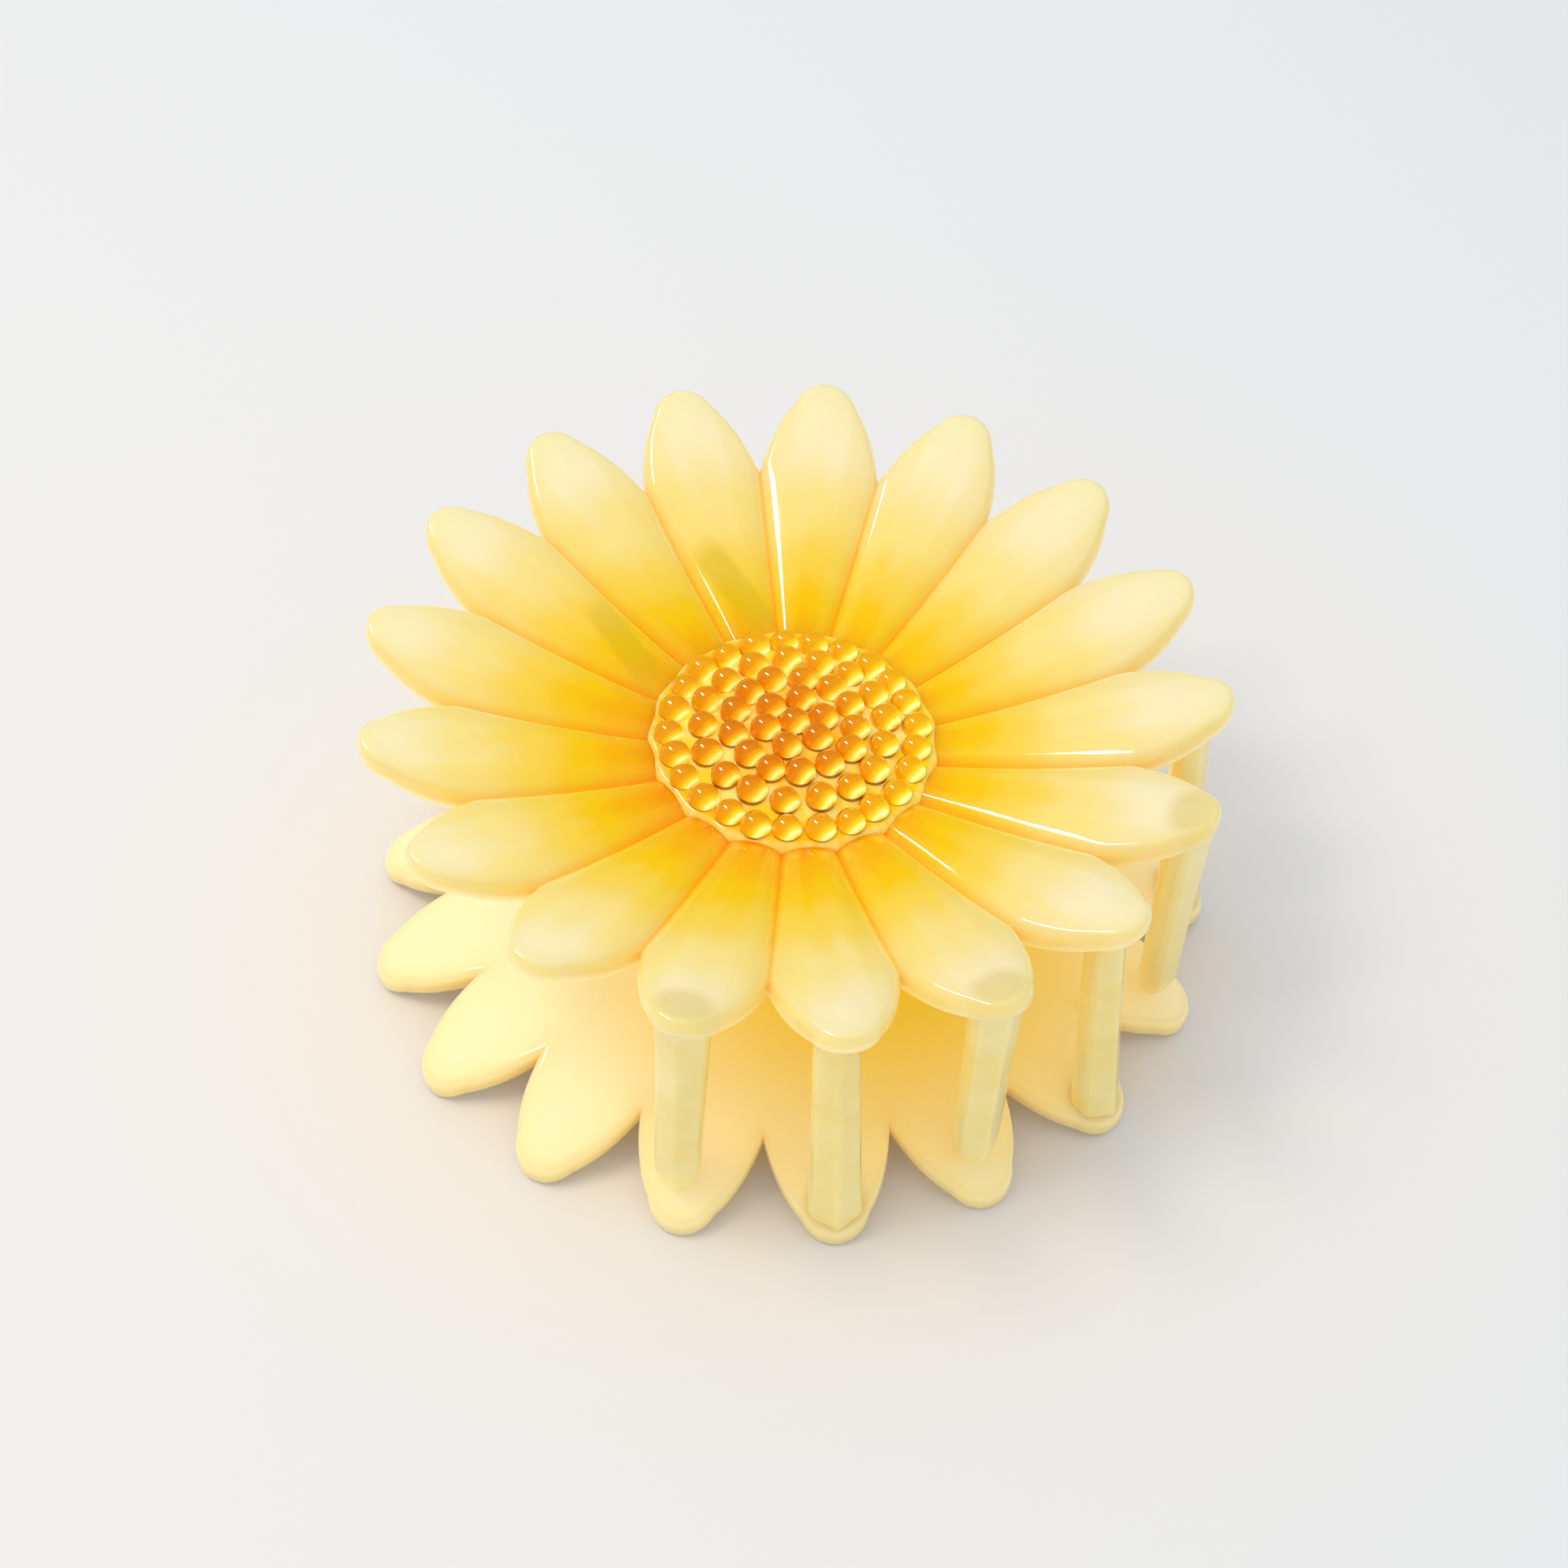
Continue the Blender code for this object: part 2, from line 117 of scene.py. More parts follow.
class NodeSheet:
    """A short way to add nodes and links to one node tree."""

    def __init__(self, tree: bpy.types.NodeTree) -> None:
        """Keep the tree that nodes go into."""
        self.tree = tree

    def add(self, kind: str, **settings: object) -> bpy.types.Node:
        """Add one node.

        Args:
            kind: The node's type name.
            **settings: Attributes to set on it.

        Returns:
            The new node.
        """
        node = self.tree.nodes.new(kind)
        for name, value in settings.items():
            setattr(node, name, value)
        return node

    def feed(self, socket: bpy.types.NodeSocket, value: object) -> None:
        """Link a socket into an input, or set the input's plain value."""
        if isinstance(value, bpy.types.NodeSocket):
            self.tree.links.new(value, socket)
        else:
            socket.default_value = value

    def math(self, operation: str, first: object, second: object = 0.0,
             third: object = 0.0, clamp: bool = False) -> bpy.types.NodeSocket:
        """Add a Math node and return its result.

        Args:
            operation: The node's operation.
            first: A socket or a number.
            second: A socket or a number.
            third: A socket or a number.
            clamp: Whether the result is kept within 0 and 1.

        Returns:
            The result's socket.
        """
        node = self.add("ShaderNodeMath", operation=operation, use_clamp=clamp)
        for slot, value in zip(node.inputs, (first, second, third)):
            self.feed(slot, value)
        return node.outputs[0]

    def ramp(self, value: object, low: float, high: float) -> bpy.types.NodeSocket:
        """Ease a value smoothly from 0 at low to 1 at high."""
        node = self.add("ShaderNodeMapRange", interpolation_type="SMOOTHSTEP")
        self.feed(node.inputs["Value"], value)
        node.inputs["From Min"].default_value = low
        node.inputs["From Max"].default_value = high
        return node.outputs["Result"]

    def mix(self, amount: object, first: object, second: object,
            blend: str = "MIX") -> bpy.types.NodeSocket:
        """Mix two colours.

        Args:
            amount: A socket or a number from 0 to 1.
            first: A socket or an RGB colour.
            second: A socket or an RGB colour.
            blend: The way of mixing.

        Returns:
            The mixed colour's socket.
        """
        node = self.add("ShaderNodeMix", data_type="RGBA", blend_type=blend)
        self.feed(node.inputs["Factor"], amount)
        for name, value in (("A", first), ("B", second)):
            slot = next(s for s in node.inputs if s.name == name and s.type == "RGBA")
            linked = isinstance(value, bpy.types.NodeSocket)
            self.feed(slot, value if linked else (*value, 1.0))
        return next(s for s in node.outputs if s.type == "RGBA")

    def place(self) -> bpy.types.NodeSocket:
        """Positions in the piece's own frame."""
        return self.add("ShaderNodeTexCoord").outputs["Object"]

    def attribute(self, name: str) -> bpy.types.NodeSocket:
        """One of the numbers that the mesh carries at its points."""
        return self.add("ShaderNodeAttribute", attribute_name=name).outputs["Fac"]

    def distance(self, place: bpy.types.NodeSocket,
                 middle: tuple[float, float, float] = (0.0, 0.0, 0.0)) -> bpy.types.NodeSocket:
        """How far each position is from a middle."""
        node = self.add("ShaderNodeVectorMath", operation="DISTANCE")
        self.feed(node.inputs[0], place)
        node.inputs[1].default_value = middle
        return node.outputs["Value"]

    def flat_distance(self, place: bpy.types.NodeSocket,
                      middle: tuple[float, float] = (0.0, 0.0)) -> bpy.types.NodeSocket:
        """How far each position is from a middle, seen in plan."""
        flat = self.add("ShaderNodeVectorMath", operation="MULTIPLY")
        self.feed(flat.inputs[0], place)
        flat.inputs[1].default_value = (1.0, 1.0, 0.0)
        return self.distance(flat.outputs[0], (*middle, 0.0))

    def color_steps(self, value: object, steps: list[tuple[float, Color]]) -> bpy.types.NodeSocket:
        """Look a value up in a row of colours.

        Args:
            value: The socket that picks the colour.
            steps: Place from 0 to 1 and colour of each step.

        Returns:
            The colour's socket.
        """
        node = self.add("ShaderNodeValToRGB")
        self.feed(node.inputs[0], value)
        node.color_ramp.interpolation = "EASE"
        stops = node.color_ramp.elements
        while len(stops) < len(steps):
            stops.new(0.5)
        for stop, (place, color) in zip(stops, steps):
            stop.position = place
            stop.color = (*color, 1.0)
        return node.outputs["Color"]


class ShaderGroup:
    """A node group with named inputs and outputs, built once and used by several finishes."""

    def __init__(self, name: str, inputs: dict[str, object], outputs: dict[str, str]) -> None:
        """Make the empty group.

        Args:
            name: The group's name.
            inputs: Each input's name and default; a tuple makes a vector.
            outputs: Each output's name and socket type.
        """
        self.tree = bpy.data.node_groups.new(name, "ShaderNodeTree")
        for label, value in inputs.items():
            kind = "NodeSocketVector" if isinstance(value, tuple) else "NodeSocketFloat"
            slot = self.tree.interface.new_socket(label, in_out="INPUT", socket_type=kind)
            slot.default_value = value
        for label, kind in outputs.items():
            self.tree.interface.new_socket(label, in_out="OUTPUT", socket_type=kind)
        self.sheet = NodeSheet(self.tree)
        self.given = self.sheet.add("NodeGroupInput").outputs
        self.result = self.sheet.add("NodeGroupOutput").inputs

    def place(self, sheet: NodeSheet, **values: object) -> dict[str, bpy.types.NodeSocket]:
        """Put the group into a material.

        Args:
            sheet: The material's node sheet.
            **values: Inputs by name, with an underscore for each space.

        Returns:
            The group's outputs by name.
        """
        node = sheet.add("ShaderNodeGroup", node_tree=self.tree)
        for name, value in values.items():
            sheet.feed(node.inputs[name.replace("_", " ")], value)
        return {slot.name: slot for slot in node.outputs}


def milky_cloud_group() -> ShaderGroup:
    """Faint clouds and flow streaks inside translucent moulded plastic.

    Returns:
        A group with a cloud mask and a streak mask.
    """
    group = ShaderGroup("milky_clouds", {"Place": (0.0, 0.0, 0.0), "Scale": 90.0, "Stretch": 6.0},
                        {"Clouds": "NodeSocketFloat", "Streaks": "NodeSocketFloat"})
    s = group.sheet
    soft = s.add("ShaderNodeTexNoise")
    s.feed(soft.inputs["Vector"], group.given["Place"])
    s.feed(soft.inputs["Scale"], group.given["Scale"])
    soft.inputs["Detail"].default_value = 3.0
    s.feed(group.result["Clouds"], s.ramp(soft.outputs["Fac"], 0.32, 0.70))
    split = s.add("ShaderNodeSeparateXYZ")
    s.feed(split.inputs[0], group.given["Place"])
    turn = s.math("ARCTAN2", split.outputs["Y"], split.outputs["X"])
    reach = s.flat_distance(group.given["Place"])
    polar = s.add("ShaderNodeCombineXYZ")
    s.feed(polar.inputs["X"], s.math("MULTIPLY", turn, group.given["Stretch"]))
    s.feed(polar.inputs["Y"], s.math("MULTIPLY", reach, group.given["Scale"]))
    streak = s.add("ShaderNodeTexNoise")
    s.feed(streak.inputs["Vector"], polar.outputs[0])
    streak.inputs["Scale"].default_value = 1.0
    streak.inputs["Detail"].default_value = 2.0
    s.feed(group.result["Streaks"], s.ramp(streak.outputs["Fac"], 0.30, 0.72))
    return group


def moulded_skin_group() -> ShaderGroup:
    """The slight waviness, fine scuffs and dust nibs of a polished moulding.

    Returns:
        A group with a bump height and a mask of fine scuffs.
    """
    group = ShaderGroup("moulded_skin", {"Place": (0.0, 0.0, 0.0), "Wave": 120.0, "Scuff": 900.0},
                        {"Height": "NodeSocketFloat", "Scuffs": "NodeSocketFloat"})
    s = group.sheet
    wave = s.add("ShaderNodeTexNoise")
    s.feed(wave.inputs["Vector"], group.given["Place"])
    s.feed(wave.inputs["Scale"], group.given["Wave"])
    wave.inputs["Detail"].default_value = 1.0
    fine = s.add("ShaderNodeTexNoise")
    s.feed(fine.inputs["Vector"], group.given["Place"])
    s.feed(fine.inputs["Scale"], group.given["Scuff"])
    fine.inputs["Detail"].default_value = 4.0
    marks = s.ramp(fine.outputs["Fac"], 0.60, 0.78)
    s.feed(group.result["Height"], s.math("MULTIPLY_ADD", marks, -0.04, wave.outputs["Fac"]))
    s.feed(group.result["Scuffs"], marks)
    return group


def bond_shadow_mark_group() -> ShaderGroup:
    """The darker patch where a piece is welded behind translucent plastic: partly the thicker bonded
    plastic, partly a painted shadow of the piece.

    Returns:
        A group with one mask: a rounded patch of a given size and turn.
    """
    group = ShaderGroup("bond_shadow_mark", {"Place": (0.0, 0.0, 0.0), "Middle": (0.0, 0.0, 0.0),
                                      "Turn": 0.0, "Half Length": 0.005, "Half Width": 0.0015,
                                      "Softness": 0.0006, "Roundness": 6.0},
                        {"Mark": "NodeSocketFloat"})
    s = group.sheet
    away = s.add("ShaderNodeVectorMath", operation="SUBTRACT")
    s.feed(away.inputs[0], group.given["Place"])
    s.feed(away.inputs[1], group.given["Middle"])
    split = s.add("ShaderNodeSeparateXYZ")
    s.feed(split.inputs[0], away.outputs[0])
    c = s.math("COSINE", group.given["Turn"])
    n = s.math("SINE", group.given["Turn"])
    along = s.math("ADD", s.math("MULTIPLY", split.outputs["X"], c),
                   s.math("MULTIPLY", split.outputs["Y"], n))
    aside = s.math("SUBTRACT", s.math("MULTIPLY", split.outputs["Y"], c),
                   s.math("MULTIPLY", split.outputs["X"], n))
    far = []
    for value, half in ((along, "Half Length"), (aside, "Half Width")):
        share = s.math("DIVIDE", s.math("ABSOLUTE", value), group.given[half])
        far.append(s.math("POWER", share, group.given["Roundness"]))
    power = s.math("DIVIDE", 1.0, group.given["Roundness"])
    reach = s.math("POWER", s.math("ADD", far[0], far[1]), power)
    soft = s.math("DIVIDE", group.given["Softness"], group.given["Half Width"])
    over = s.math("DIVIDE", s.math("SUBTRACT", reach, 1.0), soft)
    s.feed(group.result["Mark"], s.math("SUBTRACT", 0.5, over, clamp=True))
    return group


@dataclass(frozen=True)
class SharedEffects:
    """The shader groups that several finishes use."""

    clouds: ShaderGroup
    skin: ShaderGroup
    mark: ShaderGroup

    @staticmethod
    def make() -> "SharedEffects":
        """Build each group once."""
        return SharedEffects(milky_cloud_group(), moulded_skin_group(), bond_shadow_mark_group())


def new_material(name: str) -> tuple[bpy.types.Material, NodeSheet, bpy.types.Node]:
    """Start a material.

    Args:
        name: The material's name.

    Returns:
        The material, its node sheet and its Principled shader.
    """
    material = bpy.data.materials.new(name)
    material.use_nodes = True
    return material, NodeSheet(material.node_tree), material.node_tree.nodes["Principled BSDF"]


def set_plain(shader: bpy.types.Node, **values: object) -> None:
    """Set plain values on a shader's own sockets, with an underscore for each space."""
    for name, value in values.items():
        shader.inputs[name.replace("_", " ")].default_value = value


def add_scuffs(sheet: NodeSheet, shader: bpy.types.Node, scuffs: bpy.types.NodeSocket,
               polish: object, spread: float) -> None:
    """Feed the roughness: a polished level that the scuffs raise.

    Args:
        sheet: The material's node sheet.
        shader: Its Principled shader.
        scuffs: The mask of scuffs.
        polish: Roughness between the scuffs, a socket or a number.
        spread: How much the scuffs add.
    """
    sheet.feed(shader.inputs["Roughness"], sheet.math("MULTIPLY_ADD", scuffs, spread, polish))


def add_bump(sheet: NodeSheet, shader: bpy.types.Node, height: bpy.types.NodeSocket,
             strength: float, distance: float) -> None:
    """Feed a height into the shader's normal.

    Args:
        sheet: The material's node sheet.
        shader: Its Principled shader.
        height: The height's socket.
        strength: How strongly it shows.
        distance: Its full height in metres.
    """
    bump = sheet.add("ShaderNodeBump")
    bump.inputs["Strength"].default_value = strength
    bump.inputs["Distance"].default_value = distance
    sheet.feed(bump.inputs["Height"], height)
    sheet.feed(shader.inputs["Normal"], bump.outputs["Normal"])


# ---------------------------------------------------------------- the shape of a flower


@dataclass(frozen=True)
class FlowerForm:
    """The daisy's driving sizes and the surfaces that follow from them."""

    petals: int = 17
    top_petal: int = 16
    tip_radius: float = 40.0 * MM
    notch_radius: float = 31.3 * MM
    tip_rounding: float = 3.3 * MM
    side_bulge: float = 0.4 * MM
    tip_rise: float = 3.5 * MM
    flank_slope: float = 0.33
    flank_share: float = 0.55
    flank_blend: float = 0.9 * MM
    shoulder: float = 0.9 * MM
    shoulder_height: float = 0.55 * MM
    crest_start: float = 5.0 * MM
    crest_full: float = 20.0 * MM
    tip_lift: float = 0.25 * MM
    thickness: float = 2.1 * MM
    flat_radius: float = 10.0 * MM
    seat_radius: float = 11.8 * MM
    outer_rounding: float = 0.9 * MM
    inner_rounding: float = 0.45 * MM
    plane_gap: float = 25.6 * MM
    half_spread: float = math.radians(2.25)
    pin_reach: float = 17.7 * MM

    @property
    def half_petal(self) -> float:
        """Half the angle that one petal takes."""
        return math.pi / self.petals

    @property
    def pin(self) -> Vector:
        """The pin's axis in the flower frame."""
        c, s = math.cos(self.half_spread), math.sin(self.half_spread)
        half_gap = self.plane_gap / 2
        return Vector((0.0, self.pin_reach * c - half_gap * s, -self.pin_reach * s - half_gap * c))

    def petal_angle(self, number: int) -> float:
        """The direction of a petal, counted clockwise seen from outside the front flower."""
        return math.pi / 2 - (number - self.top_petal) * 2 * self.half_petal

    def cup(self, radius: np.ndarray) -> np.ndarray:
        """Height of the dished flower at a radius; zero at the notches."""
        span = self.tip_radius ** 2 - self.notch_radius ** 2
        return self.tip_rise * (radius ** 2 - self.notch_radius ** 2) / span

    def inner_height(self, radius: np.ndarray) -> np.ndarray:
        """Height of the smooth inner face, which is flat in the middle."""
        return self.cup(np.maximum(radius, self.flat_radius)) - self.thickness

    def puff(self, radius: np.ndarray, edge: np.ndarray) -> np.ndarray:
        """How high a petal's outer face stands over its valleys.

        Args:
            radius: Each point's radius.
            edge: Its distance from the petal's nearest edge.

        Returns:
            The heights: a rounded shoulder, a sloping flank and a plateau.
        """
        flank = self.flank_share * radius * math.sin(self.half_petal)
        blend = np.clip(0.5 + 0.5 * (flank - edge) / self.flank_blend, 0.0, 1.0)
        slope = edge * blend + flank * (1.0 - blend) - self.flank_blend * blend * (1.0 - blend)
        past = 1.0 - np.clip(edge / self.shoulder, 0.0, 1.0)
        height = self.flank_slope * slope + self.shoulder_height * (1.0 - past ** 2)
        along = (radius - self.crest_start) / (self.crest_full - self.crest_start)
        along = np.clip(along, 0.0, 1.0)
        out = radius / self.tip_radius
        return np.maximum(height, 0.0) * along * (2.0 - along) * (1.0 - out ** 7)

    def half_outline(self, arc_steps: int = 8, side_steps: int = 8) -> np.ndarray:
        """One side of a petal's outline from the tip to the notch, along +X.

        Args:
            arc_steps: Steps round the tip.
            side_steps: Steps down the side.

        Returns:
            Points as rows of x and y.
        """
        centre = self.tip_radius - self.tip_rounding
        notch = self.notch_radius * np.array([math.cos(self.half_petal), math.sin(self.half_petal)])
        back = notch - [centre, 0.0]
        turn = math.atan2(back[1], back[0]) - math.acos(self.tip_rounding / np.hypot(*back))
        turns = np.linspace(0.0, turn, arc_steps + 1)
        arc = np.stack([np.cos(turns), np.sin(turns)], 1) * self.tip_rounding + [centre, 0.0]
        along = np.linspace(0.0, 1.0, side_steps + 1)[1:, None]
        pull = (arc[-1] + notch) / 2 + 2 * self.side_bulge
        side = (1 - along) ** 2 * arc[-1] + 2 * along * (1 - along) * pull + along ** 2 * notch
        return np.vstack([arc, side])

    def edge_distance(self, radius: np.ndarray, turn: np.ndarray,
                      outline: np.ndarray) -> tuple[np.ndarray, np.ndarray]:
        """How far points of one petal are from its outline and from its valley.

        Args:
            radius: Each point's radius.
            turn: Each point's angle from the petal's middle.
            outline: The petal's half outline.

        Returns:
            The distance to the outline and the distance to the nearer of outline and valley.
        """
        points = np.stack([radius * np.cos(turn), np.abs(radius * np.sin(turn))], -1)[..., None, :]
        start, run = outline[:-1], np.diff(outline, axis=0)
        share = ((points - start) * run).sum(-1) / (run ** 2).sum(-1)
        nearest = start + np.clip(share, 0.0, 1.0)[..., None] * run
        to_outline = np.linalg.norm(points - nearest, axis=-1).min(-1)
        to_valley = radius * np.sin(np.maximum(self.half_petal - np.abs(turn), 0.0))
        return to_outline, np.minimum(to_outline, to_valley)


@dataclass(frozen=True)
class HalfFrame:
    """Where one half's flower frame stands in the world."""

    side: Side
    matrix: Matrix

    @staticmethod
    def find(side: Side, form: FlowerForm, pin: Vector) -> "HalfFrame":
        """Work a half's frame out from the hinge pin's place.

        Args:
            side: The half.
            form: The flower's sizes.
            pin: The pin's middle in the world.

        Returns:
            The half's frame.
        """
        if side is Side.FRONT:
            turn = Matrix.Rotation(2 * form.half_spread, 4, "X")
        else:
            turn = Matrix.Rotation(math.pi, 4, "Y")
        return HalfFrame(side, Matrix.Translation(pin) @ turn @ Matrix.Translation(-form.pin))

    def petal_angle(self, form: FlowerForm, number: int) -> float:
        """A petal's direction in this half's own frame."""
        angle = form.petal_angle(number)
        return math.pi - angle if self.side is Side.BACK else angle


# ---------------------------------------------------------------- mesh helpers


def make_object(name: str, bm: bmesh.types.BMesh, matrix: Matrix,
                sharp: float = 180.0) -> bpy.types.Object:
    """Turn a closed bmesh into a smooth-shaded object.

    Args:
        name: The piece's name.
        bm: The mesh in its own frame; it is freed.
        matrix: The frame's place in the world.
        sharp: Edges that turn more than this many degrees stay crisp.

    Returns:
        The new object.
    """
    bmesh.ops.recalc_face_normals(bm, faces=bm.faces)
    mesh = bpy.data.meshes.new(name)
    bm.to_mesh(mesh)
    bm.free()
    mesh.shade_smooth()
    if sharp < 180.0:
        mesh.set_sharp_from_angle(angle=math.radians(sharp))
    piece = bpy.data.objects.new(name, mesh)
    bpy.context.scene.collection.objects.link(piece)
    piece.matrix_world = matrix
    return piece


def bridge(bm: bmesh.types.BMesh, first: list, second: list) -> None:
    """Join two rings of equal length with quads."""
    count = len(first)
    for k in range(count):
        n = (k + 1) % count
        bm.faces.new((first[k], second[k], second[n], first[n]))


def fan(bm: bmesh.types.BMesh, middle: bmesh.types.BMVert, ring: list) -> None:
    """Close a ring with triangles round one vertex."""
    for k in range(len(ring)):
        bm.faces.new((middle, ring[k], ring[(k + 1) % len(ring)]))


def turned(profile: list[tuple[float, float]], steps: int) -> bmesh.types.BMesh:
    """Turn a profile round Z.

    Args:
        profile: Radius and height of each point; the first and last lie on the axis.
        steps: Steps in a full turn.

    Returns:
        The closed mesh.
    """
    bm = bmesh.new()
    first = bm.verts.new((0.0, 0.0, profile[0][1]))
    last = bm.verts.new((0.0, 0.0, profile[-1][1]))
    rings = []
    for radius, height in profile[1:-1]:
        turns = [2 * math.pi * k / steps for k in range(steps)]
        rings.append([bm.verts.new((radius * math.cos(a), radius * math.sin(a), height))
                      for a in turns])
    for lower, upper in zip(rings, rings[1:]):
        bridge(bm, lower, upper)
    fan(bm, first, rings[0])
    fan(bm, last, rings[-1])
    return bm


def dress(piece: bpy.types.Object, material: bpy.types.Material, body: str,
          node: str) -> bpy.types.Object:
    """Give a piece its material, hide the frame's node that it replaces and hang it on its body, if it has
    one.

    Args:
        piece: The piece.
        material: Its material.
        body: The body that it rides on.
        node: The frame's node that it replaces.

    Returns:
        The same piece.
    """
    piece.data.materials.clear()
    piece.data.materials.append(material)
    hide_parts(node)
    if body:
        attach(piece, body)
    LOG.info("%s: %d faces", piece.name, len(piece.data.polygons))
    return piece


# ---------------------------------------------------------------- finishes


@dataclass(frozen=True)
class PetalFinish:
    """Milky translucent plastic, dyed from the middle outwards, with painted shade, shadow and glow."""

    name: str
    heart: Color = hex_color("FFA300")
    inner: Color = hex_color("FFB900")
    blaze: Color = hex_color("FBCB00")
    middle: Color = hex_color("FBD54C")
    outer: Color = hex_color("FBE08A")
    tip: Color = hex_color("FCE8BE")
    rim: Color = hex_color("F2CD6C")
    crease_shade: Color = hex_color("F6B81C")
    lining: Color = hex_color("FAECC0")
    lining_shadow_gold: Color = hex_color("ECD224")
    weld_shade: Color = hex_color("BDB420")
    haze: Color = (1.0, 0.93, 0.66)
    lining_painted_glow: Color = (0.74, 0.60, 0.62)
    outer_painted_glow: Color = (0.38, 0.38, 0.46)
    shadow_spot: tuple[float, float] = (0.0, -11.0 * MM)
    shadow_reach: tuple[float, float] = (7.0 * MM, 33.0 * MM)
    reach: float = 40.0 * MM
    blush_shift: tuple[float, float] = (-2.6 * MM, -0.3 * MM)
    bands: tuple[float, ...] = (0.26, 0.36, 0.46, 0.56, 0.70, 0.88)
    haze_band: tuple[float, float] = (0.42, 0.80)
    haze_tone: float = 0.10
    flank_band: tuple[float, float] = (0.40, 0.47)
    flank_tone: float = 0.16
    crease_shade_tone: float = 0.35
    rim_shade_tone: float = 0.55
    weld_shade_tone: float = 0.36
    polish_band: tuple[float, float] = (0.45, 0.75)

    def make(self, effects: SharedEffects, marks: list[dict[str, object]]) -> bpy.types.Material:
        """Build the material.

        Args:
            effects: The shared shader groups.
            marks: Middle, turn and size of each welded piece that shows through as a patch of painted
                shadow.

        Returns:
            The material.
        """
        material, sheet, shader = new_material(self.name)
        place = sheet.place()
        clouds = effects.clouds.place(sheet, Place=place, Scale=70.0, Stretch=9.0)
        from_dye = sheet.flat_distance(place, self.blush_shift)
        reach = sheet.math("DIVIDE", from_dye, self.reach)
        drift = sheet.math("MULTIPLY_ADD", clouds["Streaks"], 0.05, -0.025)
        share = sheet.math("ADD", reach, drift)
        colors = (self.heart, self.inner, self.blaze, self.middle, self.outer, self.tip)
        color = sheet.color_steps(share, list(zip(self.bands, colors)))
        haze = sheet.math("MULTIPLY", sheet.ramp(reach, *self.haze_band), self.haze_tone)
        color = sheet.mix(sheet.math("MULTIPLY", clouds["Clouds"], haze), color, self.haze)
        flank = sheet.ramp(sheet.attribute("across"), *self.flank_band)
        flank = sheet.math("MULTIPLY", flank, self.flank_tone)
        color = sheet.mix(flank, color, self.middle)
        # Painted shade: the petal valleys are darkened to a deeper orange.
        crease_shade = sheet.math("MULTIPLY", sheet.attribute("valley"), self.crease_shade_tone)
        color = sheet.mix(crease_shade, color, self.crease_shade)
        outer = sheet.attribute("outer")
        # Painted shadow of the front flower on the inner face, golden where light comes through its petals:
        # deepest round one spot, fading to the pale lining further out.
        far = sheet.ramp(sheet.distance(place, (*self.shadow_spot, 0.0)), *self.shadow_reach)
        lining = sheet.mix(far, self.lining_shadow_gold, self.lining)
        color = sheet.mix(outer, lining, color)
        # Painted shade: a deeper band along the petals' outline.
        edge = sheet.attribute("rim")
        color = sheet.mix(sheet.math("MULTIPLY", edge, self.rim_shade_tone), color, self.rim)
        # Painted shadow: welded teeth and ears show through as darker patches, over plastic that is also
        # thicker there.
        for spot in marks:
            mark = effects.mark.place(sheet, Place=place, **spot)["Mark"]
            color = sheet.mix(sheet.math("MULTIPLY", mark, self.weld_shade_tone), color, self.weld_shade)
        skin = effects.skin.place(sheet, Place=place, Wave=110.0, Scuff=1100.0)
        sheet.feed(shader.inputs["Base Color"], color)
        satin = sheet.math("MULTIPLY_ADD", outer, -0.16, 0.50)
        add_scuffs(sheet, shader, skin["Scuffs"], satin, 0.06)
        # Painted glow: the plastic emits its own colour, more strongly on the inner face, standing for light
        # that comes through it.
        glow = sheet.mix(outer, self.lining_painted_glow, self.outer_painted_glow)
        sheet.feed(shader.inputs["Emission Color"], sheet.mix(1.0, color, glow, "MULTIPLY"))
        polish = sheet.math("MAXIMUM", outer, sheet.ramp(edge, *self.polish_band))
        sheet.feed(shader.inputs["Coat Weight"], polish)
        set_plain(shader, Subsurface_Weight=1.0, Subsurface_Scale=4.5 * MM, IOR=1.45,
                  Subsurface_Radius=(1.0, 0.9, 0.6), Specular_IOR_Level=0.12,
                  Coat_Roughness=0.04, Coat_IOR=1.65, Emission_Strength=0.3)
        add_bump(sheet, shader, skin["Height"], 0.06, 0.2 * MM)
        return material


